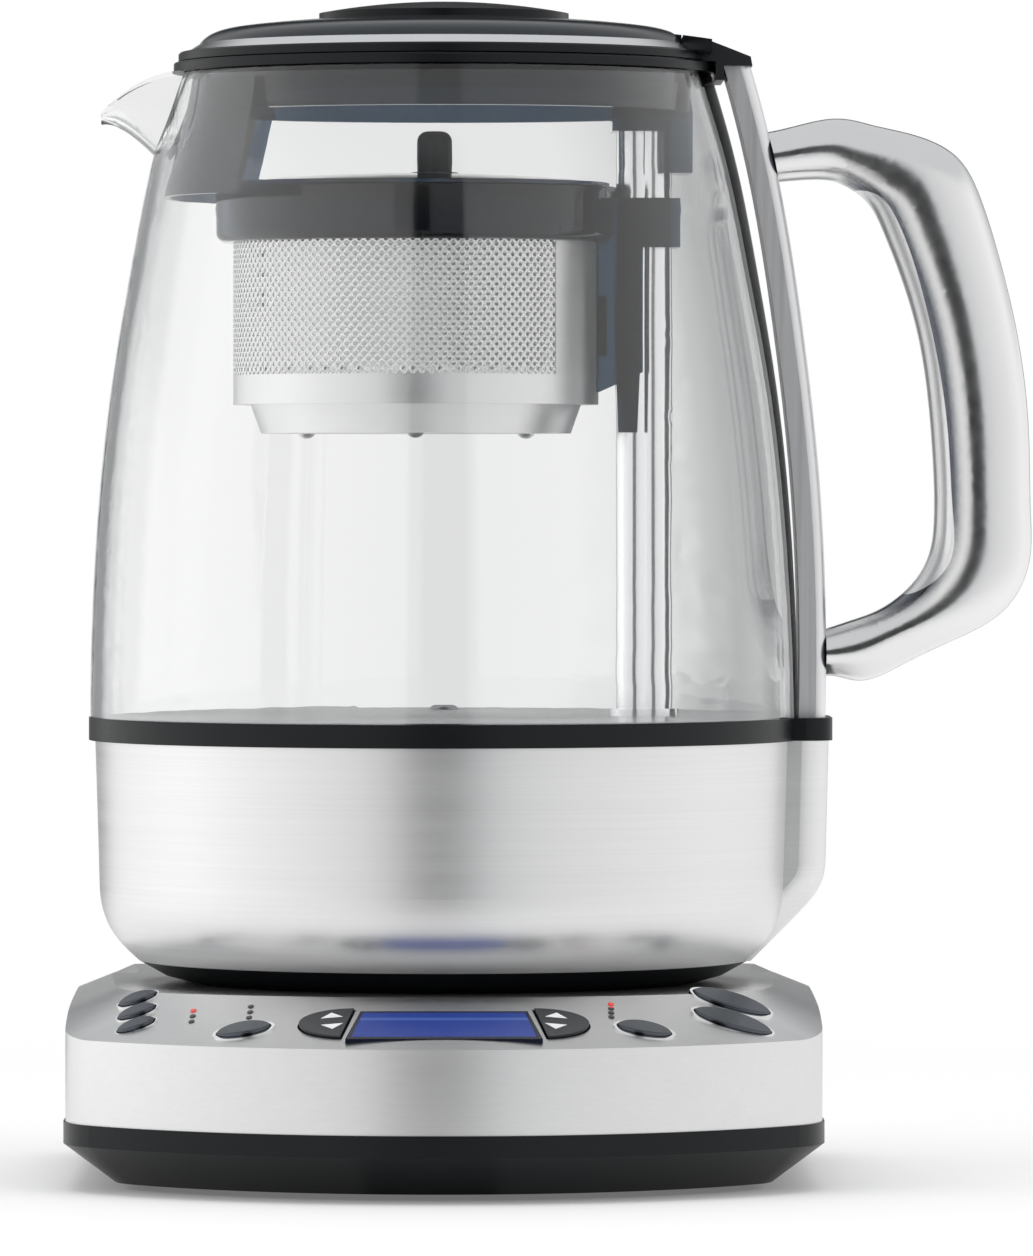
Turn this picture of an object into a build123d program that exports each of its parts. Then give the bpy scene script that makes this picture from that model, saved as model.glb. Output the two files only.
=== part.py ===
from build123d import *
import os
from math import cos, radians, sin, sqrt, tan

# Automatic tea maker: a glass brewing jug whose tea basket is lifted by a screw drive inside a
# hollow rail, standing on a powered base with a sloped control deck.
# Millimetres, +Z up. The origin is on the jug's axis at table height. The handle is at +X,
# the spout at -X and the control deck faces -Y.

os.makedirs("parts", exist_ok=True)

# ---------------------------------------------------------------- clearances
seat_gap = 0.3          # between faces of pieces that part company
slip_gap = 0.4          # round pieces that slide past each other
running_gap = 0.05      # shaft in its bore
guide_gap = 0.25        # key in its bezel

# ---------------------------------------------------------------- base
foot_height = 1.6       # rubber ring below the tray
foot_sink = 0.8         # depth of the groove that holds the ring
foot_inner = 54.0
foot_outer = 61.0
tray_shoulder = 10.6    # top of the tray's chamfer
tray_height = 15.6      # where tray and cover meet
tray_wall = 2.4
tray_chamfer = 11.5     # how far the chamfer runs in under the base
tray_proud = 0.5        # tray stands this far outside the cover
cover_wall = 1.6
deck_height = 45.4
crease_drop = 10.4      # front edge of the sloped deck below its flat middle
crease_height = deck_height - crease_drop
slope_lead = 5.0        # the slope is drawn from this far below its front edge
base_half_width = 87.2
base_front = 100.0      # jug axis to the front edge
base_rear = 98.0        # jug axis to the rear edge
front_bow = 107.0       # radius of the bowed front
rear_bow = 180.0        # radius of the bowed rear
base_corner = 26.0
post_radius = 4.0
post_front = (48.0, -54.0)
post_rear = (58.0, 58.0)
post_split = 19.0       # height where cover posts meet tray posts
screw_radius = 1.5
screw_head_radius = 3.0
screw_head_height = 2.0
screw_length = 19.0
gland_height = 9.5
gland_bore = 2.6
gland_wall = 1.0
gland_flange = 1.0      # flange beyond the gland's body
gland_length = 12.0
gland_boss_wall = 1.6

# deck slope: the flat top ends at an inner curve, and the slope runs out from it
flat_reach = 74.0       # flat top in front of the jug axis
flat_corner = (62.0, -55.0)
flat_side = ((73.0, -40.0), (77.0, -10.0), (79.0, 40.0), (80.0, 130.0))
skirt_corner = (84.0, -59.3)
skirt_side = ((92.0, -45.0), (101.0, -15.0), (105.5, 40.0), (107.0, 130.0))

# ---------------------------------------------------------------- coupling between base and jug
socket_radius = 18.0
socket_height = deck_height + 8.1
socket_flange = 24.0
socket_flange_thick = 2.0
track_radii = (12.0, 6.0)       # inner radii of the two contact tracks
track_width = 2.2
track_depth = 6.0
contact_thick = 0.6
blade_thick = 0.7
blade_length = 4.4
plug_wall = 3.4
plug_top_thick = 4.0
plug_flange = 24.0
plug_flange_thick = 2.0

# ---------------------------------------------------------------- keys on the deck
key_travel = 0.8
key_height = 1.2        # top of a key above the deck
key_skirt = 2.4         # underside of a key's cap below the deck
key_depth = 5.5         # underside of a key's plunger below the deck
key_crown = 0.7         # fall of a key's dome from its middle to its end
key_round = 0.4
plunger_radius = 1.6
small_key = (4.6, 2.3, 0.6)     # half width, half depth, width of the bezel round it
oval_key = (6.2, 3.1, 1.0)
large_key = (9.2, 3.8, 0.9)
bezel_height = 0.25
bezel_depth = 2.6
bezel_leg = 1.4
switch_size = 4.2
switch_height = 1.6
switch_gap = 0.05       # above a switch when its key is fully pressed
board_thick = 1.2
small_key_spot = (-70.3, -57.6)
small_key_pitch = 7.0
brew_key_spot = (-45.4, -81.4)
strength_key_spot = (45.4, -81.2)
large_key_spot = (65.9, -60.85)
large_key_pitch = 10.2
display_spot = (0.0, -87.9)
display_half_width = 20.6
display_half_depth = 7.4
display_fit = 0.1
display_proud = 0.15
display_glass = 1.0
rocker_length = 12.0
rocker_height = 0.6     # top of a rocker above the deck
rocker_skirt = 1.8
rocker_swing = 0.3      # travel of a rocker above its switch
rocker_bead = 0.9       # radius of the pivot bead under a rocker
rocker_rib = 4.8        # rocker ribs and switches in front of and behind the pivot
rocker_angle = 12.8     # degrees round the front bow to a rocker's square end
rocker_step = 0.9       # from the display's end to the rocker
led_radius = 0.7
led_length = 5.0
led_proud = 0.2
left_led_spots = ((-57.2, -65.6), (-57.3, -68.2), (-57.5, -70.8),
                  (-44.0, -70.1), (-44.1, -72.7), (-44.3, -75.3))
right_led_spots = ((38.0, -71.2), (38.0, -73.3), (38.0, -75.4), (38.0, -77.5))
power_board_size = (70.0, 40.0)
standoff_inset = 5.0            # standoffs in from the board's edges
standoff_pitch = tuple(size - 2 * standoff_inset for size in power_board_size)
power_board_spot = 58.0         # behind the jug axis
power_board_height = 12.0
relay_size = (16.0, 13.0, 14.0)

# ---------------------------------------------------------------- jug
jug_foot_radius = 65.6
jug_foot_low = deck_height + seat_gap
jug_foot_edge = jug_foot_low + 1.5
jug_foot_rest = 60.0
jug_foot_plate = 2.5
jug_foot_ledge = 3.0
shell_radius = 81.9
shell_wall = 1.0
shell_draft = 1.0       # the wall leans out by this much from its knee to its top
shell_bottom = jug_foot_low + 5.0
shell_bottom_radius = 71.8
shell_knee_rise = 17.3  # from the bottom to where the straight wall starts
shell_height = 51.6
shell_top = shell_bottom + shell_height
shell_knee = (shell_radius - shell_draft, shell_bottom + shell_knee_rise)
shell_turn_share = (0.615, 0.341)   # where the curve under the wall lies, from bottom to knee
band_proud = 1.5        # band outside the shell
band_radius = shell_radius + band_proud
band_inner = band_radius - 3.4
band_ledge = 4.0        # inner flange that carries the heating plate
band_height = 5.3
band_top = shell_top + band_height
plate_thick = 1.5
plate_rise = 0.3        # top of the plate above the band
bulge_half_width = 17.0
bulge_depth = 8.1       # how far the bulge stands out from the shell
bulge_radius = shell_radius + bulge_depth
bulge_draft = 0.7
bulge_knee_rise = 23.3
bulge_knee = (bulge_radius - bulge_draft, shell_bottom + bulge_knee_rise)
bulge_turn_share = (0.691, 0.524)
bulge_round = 6.5
band_nose = bulge_radius + 0.9
element_radii = (28.0, 35.0)
element_height = 6.4
probe_radius = 4.0
probe_spot = 64.0       # behind the jug axis
probe_length = 18.0
probe_rise = 1.0        # above the heating plate
glass_wall = 3.0
glass_profile = ((83.1, 0.0), (82.0, 36.8), (78.4, 75.4), (73.3, 106.4), (68.3, 131.2),
                 (62.7, 151.0))     # outside radius and height above the band
glass_top = band_top + glass_profile[-1][1]

# spout: sections from the neck to the tip, each (reach, underside below the glass's top,
# rim below the glass's top, half width)
spout_sections = ((60.0, 26.6, 0.0, 17.0), (69.0, 18.4, 1.6, 12.0),
                  (75.5, 13.2, 5.2, 7.4), (80.4, 12.1, 9.4, 3.4))
spout_wall = 1.8

collar_inner = 56.0
collar_outer = 63.4
collar_height = 2.3
collar_top = glass_top + collar_height
sleeve_outer = 58.0
sleeve_wall = 2.2
sleeve_bottom = glass_top - 9.8
bracket_half_width = 8.0
bracket_low = glass_top - 23.8
bracket_step = glass_top - 14.0
filter_half_angle = 44.0
filter_top = glass_top - 2.6
filter_low = glass_top - 29.6
filter_thick = 1.3
filter_hole = 2.0               # holes in the spout filter, in staggered rows
filter_rows = 5
filter_columns = 7
filter_row_pitch = 3.0
filter_hole_angle = 4.0         # degrees between the holes of a row
filter_low_radius = 64.4        # inside of the filter at its lower edge

# ---------------------------------------------------------------- rail and lift drive
rail_x = 47.0
rail_radius = 4.4       # of each of the two columns
rail_offset = 2.2       # columns either side of the rail's middle
rail_wall = 0.8
rail_top = glass_top - 8.6
rail_foot = 1.6
screw_drive_radius = 1.8
screw_drive_top = rail_top - 5.0
carriage_height = 16.0
motor_radius = 10.0
motor_length = 22.0

# ---------------------------------------------------------------- basket (raised)
basket_x = -6.6
ring_radius = 47.0
ring_inner = 43.8
ring_height = 12.9
ring_top = glass_top - 27.1
ring_bottom = ring_top - ring_height
ring_bead = 0.6
ring_round = 2.5
mesh_radius = 42.9
mesh_wall = 0.6
mesh_grip = 3.4         # length of the mesh held in the ring
mesh_height = 34.4
mesh_top = ring_bottom + mesh_grip
mesh_bottom = mesh_top - mesh_height
foot_band = 6.9         # height of the plain steel band below the mesh
band_low = mesh_bottom - foot_band
cup_radius = 38.8
cup_height = 6.7
cup_low = band_low - cup_height
cup_wall = 1.2
dimple_radius = 30.0
dimple_rise = 1.2
clip_reach = 55.2
clip_half_width = 8.5
clip_low = ring_bottom - 1.1
clip_height = 11.5
clip_top = clip_low + clip_height
spine_half_width = 7.5
spine_reach = 46.5
spine_low = mesh_bottom - 4.0
spine_slant = 4.7
prong_low = cup_low + 0.2
prong_spots = (40.2, 45.8)
magnet_size = (1.8, 8.0, 14.0)
magnet_low = spine_low + 8.4
carriage_low = magnet_low + (magnet_size[2] - carriage_height) / 2
basket_lid_radius = 45.4
basket_lid_rise = 3.0
basket_lid_wall = 1.4
basket_lid_skirt = 3.0
knob_x = -2.2
knob_radius = 4.1
knob_height = 9.6
knob_seat = ring_top + seat_gap + basket_lid_rise + 0.3
knob_top = knob_seat + knob_height

# ---------------------------------------------------------------- jug lid
lid_radius = collar_outer - 1.1
lid_low = collar_top + seat_gap
lid_frame_height = 2.1
lid_frame_top = lid_low + lid_frame_height
trim_width = 3.1
trim_height = 1.9
trim_outer = lid_radius - 1.7
trim_inner = trim_outer - trim_width
trim_top = lid_frame_top + trim_height
trim_seat = 1.2
dome_rise = 4.3
dome_shoulder = (46.4, trim_top + dome_rise)
dome_wall = 2.2
dome_edge_wall = 3.4
knob_cap_radius = 29.3
knob_cap_low = trim_top + dome_rise + 0.9
knob_cap_edge = knob_cap_low + 2.2
knob_cap_height = 4.9
dome_crown = knob_cap_low + 0.5
lid_height = knob_cap_low + knob_cap_height
plug_depth = 8.2
plug_radius = collar_inner - 4.0
plug_shell = 2.0
plug_low = lid_low - plug_depth
seal_radius = collar_inner - 0.6
seal_low = plug_low + 2.6
seal_thick = 2.0
tongue_x = 51.4         # the lid's black tongue towards the handle starts here
tongue_radius = 34.0
cap_x = seal_radius + slip_gap      # the handle's cap starts here, clear of the rising seal

# ---------------------------------------------------------------- handle
# points of the side view, each (distance from the jug's axis, height above the band)
strap_half_width = 11.0
strap_profile = ((71.7, 152.3), (79.3, 121.0), (84.0, 91.1), (87.8, 57.1), (89.3, 29.4), (89.3, 0.0))
strap_thick = 6.3       # measured level, towards the jug
strap_round = 2.4
handle_half_width = 11.5
# pairs of points across the handle: outer edge, inner edge
handle_stations = (
    ((72.0, 140.5), (74.0, 126.3)),
    ((88.7, 139.2), (87.0, 126.2)),
    ((100.3, 138.1), (94.5, 124.6)),
    ((111.5, 135.7), (98.4, 121.8)),
    ((120.4, 131.0), (100.9, 118.7)),
    ((126.0, 121.0), (103.3, 113.6)),
    ((129.5, 109.9), (107.2, 103.6)),
    ((134.2, 90.4), (112.0, 86.4)),
    ((137.0, 67.4), (114.5, 65.9)),
    ((137.5, 47.5), (115.2, 47.9)),
    ((137.0, 35.4), (114.2, 38.9)),
    ((131.5, 25.4), (110.7, 32.0)),
    ((121.0, 19.1), (105.0, 26.8)),
    ((108.0, 13.4), (99.5, 23.9)),
    ((96.9, 9.3), (92.4, 21.5)),
    ((82.0, 3.9), (82.0, 20.4)),
)
handle_fullness = 0.77  # where the section's corners lie, from its middle to the box round it
grip_profile = ((97.2, 123.4), (102.4, 121.6), (106.4, 115.6), (112.4, 97.9), (118.0, 66.0),
                (119.1, 48.0), (118.2, 36.0), (113.6, 31.0), (108.5, 28.8))
grip_back = 92.0        # inside the finger gap, clear of the handle
cap_half_width = 16.0
cap_end_half_width = 11.6
cap_bow = 0.94          # the cap's width half way to its end, as a share
cap_foot = 3.4              # the cap's foot below the top of the strap
handle_screw_heights = (132.4, 12.9)
handle_screw_radius = 1.5
handle_screw_length = 12.0
handle_screw_grip = 4.5     # length of a screw inside the strap


# ================================================================ helpers
def mixed(near, far, share):
    """The point a share of the way from near to far, which may lie beyond far."""
    return tuple(a + (b - a) * share for a, b in zip(near, far))


def between(low, high, shares):
    """A point whose two coordinates lie their own shares of the way from low to high."""
    return tuple(a + (b - a) * share for a, b, share in zip(low, high, shares))


def raised(points, level):
    """Points of a side view whose heights count from a level."""
    return [(x, level + height) for x, height in points]


def finish(piece, label):
    """Name a finished piece and write it."""
    piece.part.label = label
    export_step(piece.part, f"parts/{label}.step")


def base_outline(inset=0.0):
    """Plan of the base: bowed front and rear, straight sides, round corners."""
    half_width = base_half_width - inset
    front_centre = front_bow - base_front
    rear_centre = base_rear - rear_bow
    front_end = front_centre - sqrt((front_bow - inset) ** 2 - half_width**2)
    rear_end = rear_centre + sqrt((rear_bow - inset) ** 2 - half_width**2)
    with BuildLine() as border:
        ThreePointArc((-half_width, front_end), (0, inset - base_front), (half_width, front_end))
        Line((half_width, front_end), (half_width, rear_end))
        ThreePointArc((half_width, rear_end), (0, base_rear - inset), (-half_width, rear_end))
        Line((-half_width, rear_end), (-half_width, front_end))
    make_face(border.edges())
    fillet(vertices(), radius=base_corner - inset)


def slope_curve(reach, corner, side):
    """Front arc and side curves that bound the deck at one level."""
    left_corner = (-corner[0], corner[1])
    left_side = [(-x, y) for x, y in side]
    arc = ThreePointArc(left_corner, (0, -reach), corner)
    Spline(arc @ 1, *side, tangents=[arc % 1, (0.1, 1)])
    Spline(arc @ 0, *left_side, tangents=[-(arc % 0), (-0.1, 1)])
    Line(side[-1], left_side[-1])


# the slope is drawn from a level below its front edge so that it cuts the skirt cleanly
slope_low = crease_height - slope_lead
slope_share = (deck_height - slope_low) / (deck_height - crease_height)


def deck_form(drop=0.0):
    """The block that bounds the base from above: flat middle, sloped front and sides."""
    low_reach = flat_reach + (base_front - flat_reach) * slope_share
    low_side = [mixed(a, b, slope_share) for a, b in zip(flat_side, skirt_side)]
    with BuildPart() as form:
        with BuildSketch(Plane.XY.offset(slope_low - drop)):
            with BuildLine():
                slope_curve(low_reach, mixed(flat_corner, skirt_corner, slope_share), low_side)
            make_face()
        with BuildSketch(Plane.XY.offset(deck_height - drop)):
            with BuildLine():
                slope_curve(flat_reach, flat_corner, flat_side)
            make_face()
        loft(ruled=True)
    return form.part


def cover_block(inset=0.0):
    """The cover as a solid block, drawn in by inset on every outer face."""
    with BuildPart() as block:
        with BuildSketch(Plane.XY.offset(slope_low - inset)):
            base_outline(inset)
        extrude(amount=deck_height - slope_low)
        add(deck_form(inset), mode=Mode.INTERSECT)
        with BuildSketch(Plane.XY.offset(tray_height)):
            base_outline(inset)
        extrude(amount=slope_low - inset - tray_height)
    return block.part


deck_surface = deck_form()


def deck_plane(spot, turn=0.0):
    """The plane that lies on the deck over a spot; turn swings its x towards the bow."""
    upright = Axis((spot[0], spot[1], 0), (0, 0, 1))
    hits = [hit for face in deck_surface.faces() for hit in face.find_intersection_points(upright)]
    point, normal = max(hits, key=lambda hit: hit[0].Z)
    if normal.Z < 0:
        normal = -normal
    return Plane(origin=point, x_dir=(cos(radians(turn)), sin(radians(turn)), 0), z_dir=normal)


def shifted(plane, x=0.0, y=0.0, z=0.0):
    """The same plane moved along its own axes."""
    return plane.shift_origin(plane.from_local_coords((x, y, 0))).offset(z)


small_plane = deck_plane(small_key_spot)
large_plane = deck_plane(large_key_spot)
display_plane = deck_plane(display_spot)

# each key's plane on the deck and its size
keys = {
    "auto_start_key": (shifted(small_plane, y=small_key_pitch), small_key),
    "keep_warm_key": (small_plane, small_key),
    "basket_key": (shifted(small_plane, y=-small_key_pitch), small_key),
    "tea_type_key": (deck_plane(brew_key_spot), oval_key),
    "strength_key": (deck_plane(strength_key_spot), oval_key),
    "hot_water_key": (shifted(large_plane, y=large_key_pitch / 2), large_key),
    "start_key": (shifted(large_plane, y=-large_key_pitch / 2), large_key),
}


def rocker_plane(side):
    """The plane at a rocker's square end; side is 1 for the right one and -1 for the left."""
    swing = radians(rocker_angle)
    centre = front_bow - base_front
    reach = centre - display_spot[1]
    end = (side * reach * sin(swing), centre - reach * cos(swing))
    return deck_plane(end, turn=side * rocker_angle)


rockers = {"temperature_rocker": (rocker_plane(-1), -1), "time_rocker": (rocker_plane(1), 1)}


def bead_plane(plane, side):
    """The plane across a rocker's hinge axis, which runs under the rocker's cap."""
    middle = shifted(plane, x=side * rocker_length / 2, z=-rocker_skirt)
    return Plane(middle.origin, x_dir=plane.y_dir, z_dir=plane.x_dir)


board_top = key_depth + key_travel + switch_gap + switch_height
rocker_rib_depth = key_depth + key_travel + switch_gap - rocker_swing


def half_moon(side, gap=0.0):
    """Half an ellipse whose square end faces the display."""
    Ellipse(rocker_length + gap, display_half_depth + gap)
    with Locations((side * (rocker_step - gap - 2 * rocker_length), 0)):
        Rectangle(4 * rocker_length, 4 * display_half_depth, mode=Mode.SUBTRACT)


def display_outline(gap=0.0):
    """The display's shape: its ends follow the square ends of the rockers."""
    half_depth = display_half_depth + gap
    spread = half_depth * tan(radians(rocker_angle))
    wide = display_half_width + gap + spread
    Trapezoid(2 * wide, 2 * half_depth, 90 - rocker_angle)


def post_circles(radius):
    """Circles at the four screw posts."""
    for px, py in (post_front, post_rear):
        with Locations((px, py), (-px, py)):
            Circle(radius)


# ================================================================ base
with BuildPart() as cover_posts:
    with BuildSketch(Plane.XY.offset(post_split)):
        post_circles(post_radius)
    extrude(amount=deck_height)
    add(cover_block(cover_wall / 2), mode=Mode.INTERSECT)
    with BuildSketch(Plane.XY.offset(post_split)):
        post_circles(screw_radius)
    extrude(amount=screw_length / 2, mode=Mode.SUBTRACT)

with BuildPart() as base_cover:
    add(cover_block())
    add(cover_block(cover_wall), mode=Mode.SUBTRACT)
    with BuildSketch(Plane.XY.offset(tray_height - cover_wall)):
        base_outline(cover_wall)
    extrude(amount=2 * cover_wall, mode=Mode.SUBTRACT)
    add(cover_posts.part)
    # openings for the keys, the rockers, the display, the lights and the socket
    for plane, (half_x, half_y, rim) in keys.values():
        with BuildSketch(plane.offset(key_depth)):
            Ellipse(half_x + rim, half_y + rim)
        extrude(amount=-3 * key_depth, mode=Mode.SUBTRACT)
    for plane, side in rockers.values():
        with BuildSketch(plane.offset(key_depth)):
            half_moon(side, slip_gap)
        extrude(amount=-2.5 * key_depth, mode=Mode.SUBTRACT)
    with BuildSketch(display_plane.offset(key_depth)):
        display_outline(display_fit)
    extrude(amount=-2.5 * key_depth, mode=Mode.SUBTRACT)
    for spot in left_led_spots + right_led_spots:
        with BuildSketch(deck_plane(spot).offset(led_length / 2)):
            Circle(led_radius + running_gap)
        extrude(amount=-1.5 * led_length, mode=Mode.SUBTRACT)
    with BuildSketch(Plane.XY.offset(deck_height - 2 * cover_wall)):
        Circle(socket_radius)
    extrude(amount=3 * cover_wall, mode=Mode.SUBTRACT)
finish(base_cover, "base_cover")

gland_radius = gland_bore + gland_wall
with BuildPart() as base_tray:
    with BuildSketch(Plane.XY.offset(foot_height)):
        base_outline(tray_chamfer)
    with BuildSketch(Plane.XY.offset(tray_shoulder)):
        base_outline(-tray_proud)
    loft(ruled=True)
    with BuildSketch(Plane.XY.offset(tray_shoulder)):
        base_outline(-tray_proud)
    extrude(amount=tray_height - tray_shoulder)
    with BuildSketch(Plane.XY.offset(foot_height + tray_wall)):
        base_outline(tray_chamfer + tray_wall)
    with BuildSketch(Plane.XY.offset(tray_shoulder + tray_wall / 4)):
        base_outline(tray_wall - tray_proud)
    loft(ruled=True, mode=Mode.SUBTRACT)
    with BuildSketch(Plane.XY.offset(tray_shoulder + tray_wall / 4)):
        base_outline(tray_wall - tray_proud)
    extrude(amount=tray_height, mode=Mode.SUBTRACT)
    # posts for the screws, standoffs for the power board, boss for the cord gland
    with BuildSketch(Plane.XY.offset(foot_height + tray_wall / 2)):
        post_circles(post_radius)
    extrude(amount=post_split - foot_height - tray_wall / 2)
    with BuildSketch(Plane.XY.offset(foot_height + tray_wall / 2)):
        with Locations((0, power_board_spot)):
            with GridLocations(*standoff_pitch, 2, 2):
                Circle(post_radius / 2)
    extrude(amount=power_board_height - foot_height - tray_wall / 2)
    with BuildSketch(Plane.XZ.offset(-base_rear + gland_length)):
        with Locations((0, gland_height)):
            Circle(gland_radius + gland_boss_wall)
    extrude(amount=-gland_length - tray_proud)
    with BuildSketch(Plane.XZ.offset(-base_rear + gland_length)):
        with Locations((0, gland_height)):
            Circle(gland_radius)
    extrude(amount=-2 * gland_length, mode=Mode.SUBTRACT)
    # screw holes with room for the heads, and the groove for the foot
    with BuildSketch(Plane.XY):
        post_circles(screw_radius)
    extrude(amount=post_split + 1, mode=Mode.SUBTRACT)
    with BuildSketch(Plane.XY):
        post_circles(screw_head_radius)
    extrude(amount=post_split - screw_length / 2, mode=Mode.SUBTRACT)
    with BuildSketch(Plane.XY):
        Circle(foot_outer)
        Circle(foot_inner, mode=Mode.SUBTRACT)
    extrude(amount=foot_height + foot_sink, mode=Mode.SUBTRACT)
finish(base_tray, "base_tray")

with BuildPart() as foot_ring:
    with BuildSketch():
        Circle(foot_outer)
        Circle(foot_inner, mode=Mode.SUBTRACT)
    extrude(amount=foot_height + foot_sink)
finish(foot_ring, "foot_ring")

screw_seat = post_split - screw_length / 2
with BuildPart() as tray_screws:
    with BuildSketch(Plane.XY.offset(screw_seat - screw_head_height)):
        post_circles(screw_head_radius)
    extrude(amount=screw_head_height)
    with BuildSketch(Plane.XY.offset(screw_seat)):
        post_circles(screw_radius)
    extrude(amount=screw_length)
finish(tray_screws, "tray_screws")

with BuildPart() as cord_gland:
    with BuildSketch(Plane.XZ.offset(-base_rear + gland_length)):
        with Locations((0, gland_height)):
            Circle(gland_radius)
    extrude(amount=-gland_length - tray_proud)
    with BuildSketch(Plane.XZ.offset(-base_rear - tray_proud)):
        with Locations((0, gland_height)):
            Circle(gland_radius + gland_flange)
    extrude(amount=-gland_flange)
    with BuildSketch(Plane.XZ.offset(-base_rear + gland_length)):
        with Locations((0, gland_height)):
            Circle(gland_bore)
    extrude(amount=-2 * gland_length, mode=Mode.SUBTRACT)
finish(cord_gland, "cord_gland")

with BuildPart() as deck_socket:
    with BuildSketch(Plane.XY.offset(deck_height - cover_wall - socket_flange_thick)):
        Circle(socket_flange)
    extrude(amount=socket_flange_thick)
    with BuildSketch(Plane.XY.offset(deck_height - cover_wall)):
        Circle(socket_radius)
    extrude(amount=socket_height - deck_height + cover_wall)
    top_edge = deck_socket.edges().filter_by(GeomType.CIRCLE).group_by(Axis.Z)[-1]
    chamfer(top_edge, contact_thick)
    with BuildSketch(Plane.XY.offset(socket_height - track_depth)):
        for radius in track_radii:
            Circle(radius + track_width)
            Circle(radius, mode=Mode.SUBTRACT)
    extrude(amount=track_depth, mode=Mode.SUBTRACT)
finish(deck_socket, "deck_socket")

with BuildPart() as contact_rings:
    for radius in track_radii:
        with BuildSketch(Plane.XY.offset(socket_height - track_depth)):
            Circle(radius + track_width)
            Circle(radius + track_width - contact_thick, mode=Mode.SUBTRACT)
        extrude(amount=track_depth - contact_thick)
finish(contact_rings, "contact_rings")

with BuildPart() as button_bezels:
    for plane, (half_x, half_y, rim) in keys.values():
        with BuildSketch(plane.offset(-bezel_depth)):
            Ellipse(half_x + rim, half_y + rim)
        extrude(amount=bezel_depth + bezel_height)
        with BuildSketch(plane.offset(-board_top)):
            with GridLocations(2 * (half_x + rim) - bezel_leg, 0, 2, 1):
                Rectangle(bezel_leg, bezel_leg)
        extrude(amount=board_top - bezel_depth)
        with BuildSketch(plane.offset(-board_top)):
            Ellipse(half_x + guide_gap, half_y + guide_gap)
        extrude(amount=2 * board_top, mode=Mode.SUBTRACT)
finish(button_bezels, "button_bezels")

with BuildPart() as control_boards:
    with BuildSketch(shifted(small_plane, z=-board_top)):
        Rectangle(2 * (small_key[0] + small_key[2]), 2.6 * small_key_pitch + switch_size)
    extrude(amount=-board_thick)
    for name in ("tea_type_key", "strength_key"):
        with BuildSketch(keys[name][0].offset(-board_top)):
            Rectangle(2 * (oval_key[0] + oval_key[2]), 2 * oval_key[1])
        extrude(amount=-board_thick)
    with BuildSketch(large_plane.offset(-board_top)):
        Rectangle(2 * (large_key[0] + large_key[2]), large_key_pitch + switch_size)
    extrude(amount=-board_thick)
    with BuildSketch(display_plane.offset(-board_top)):
        Rectangle(2 * display_half_width, 1.8 * display_half_depth)
    extrude(amount=-board_thick)
    for plane, side in rockers.values():
        with BuildSketch(shifted(plane, x=side * rocker_length / 2, z=-board_top)):
            Rectangle(rocker_length * 0.7, 2 * rocker_rib + switch_size)
        extrude(amount=-board_thick)
finish(control_boards, "control_boards")

with BuildPart() as tact_switches:
    for plane, size in keys.values():
        with BuildSketch(plane.offset(-board_top)):
            Rectangle(switch_size, switch_size)
        extrude(amount=switch_height)
    for plane, side in rockers.values():
        with BuildSketch(shifted(plane, x=side * rocker_length / 2, z=-board_top)):
            with GridLocations(0, 2 * rocker_rib, 1, 2):
                Rectangle(switch_size, switch_size)
        extrude(amount=switch_height)
finish(tact_switches, "tact_switches")

with BuildPart() as display_window:
    with BuildSketch(display_plane.offset(display_proud - display_glass)):
        display_outline()
    extrude(amount=display_glass)
finish(display_window, "display_window")

with BuildPart() as display_module:
    with BuildSketch(display_plane.offset(-board_top)):
        Rectangle(1.8 * display_half_width, 1.7 * display_half_depth)
    extrude(amount=board_top - display_glass + display_proud)
finish(display_module, "display_module")

with BuildPart() as indicator_leds:
    for spot in left_led_spots + right_led_spots:
        with BuildSketch(deck_plane(spot).offset(-led_length)):
            Circle(led_radius)
        extrude(amount=led_length + led_proud)
finish(indicator_leds, "indicator_leds")

with BuildPart() as power_board:
    with BuildSketch(Plane.XY.offset(power_board_height)):
        with Locations((0, power_board_spot)):
            Rectangle(*power_board_size)
    extrude(amount=board_thick)
finish(power_board, "power_board")

with BuildPart() as relay:
    with BuildSketch(Plane.XY.offset(power_board_height + board_thick)):
        with Locations((-power_board_size[0] / 4, power_board_spot)):
            Rectangle(relay_size[0], relay_size[1])
    extrude(amount=relay_size[2])
finish(relay, "relay")


# ================================================================ keys and rockers
for name, (plane, (half_x, half_y, rim)) in keys.items():
    profile = Plane(plane.origin, x_dir=plane.x_dir, z_dir=-plane.y_dir)
    reach = half_x + rim
    with BuildPart() as key:
        with BuildSketch(profile):
            with BuildLine():
                low_end = key_height - key_crown
                crown = ThreePointArc((-reach, low_end), (0, key_height), (reach, low_end))
                Polyline(crown @ 1, (reach, -key_skirt), (-reach, -key_skirt), crown @ 0)
            make_face()
        extrude(amount=reach, both=True)
        with BuildSketch(plane.offset(-2 * key_skirt)):
            Ellipse(half_x, half_y)
        extrude(amount=4 * key_skirt, mode=Mode.INTERSECT)
        top = key.faces().sort_by(Axis(plane.origin, plane.z_dir))[-1]
        fillet(top.edges(), key_round)
        with BuildSketch(plane.offset(-key_depth)):
            Circle(plunger_radius)
        extrude(amount=key_depth - key_skirt)
    finish(key, name)

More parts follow.
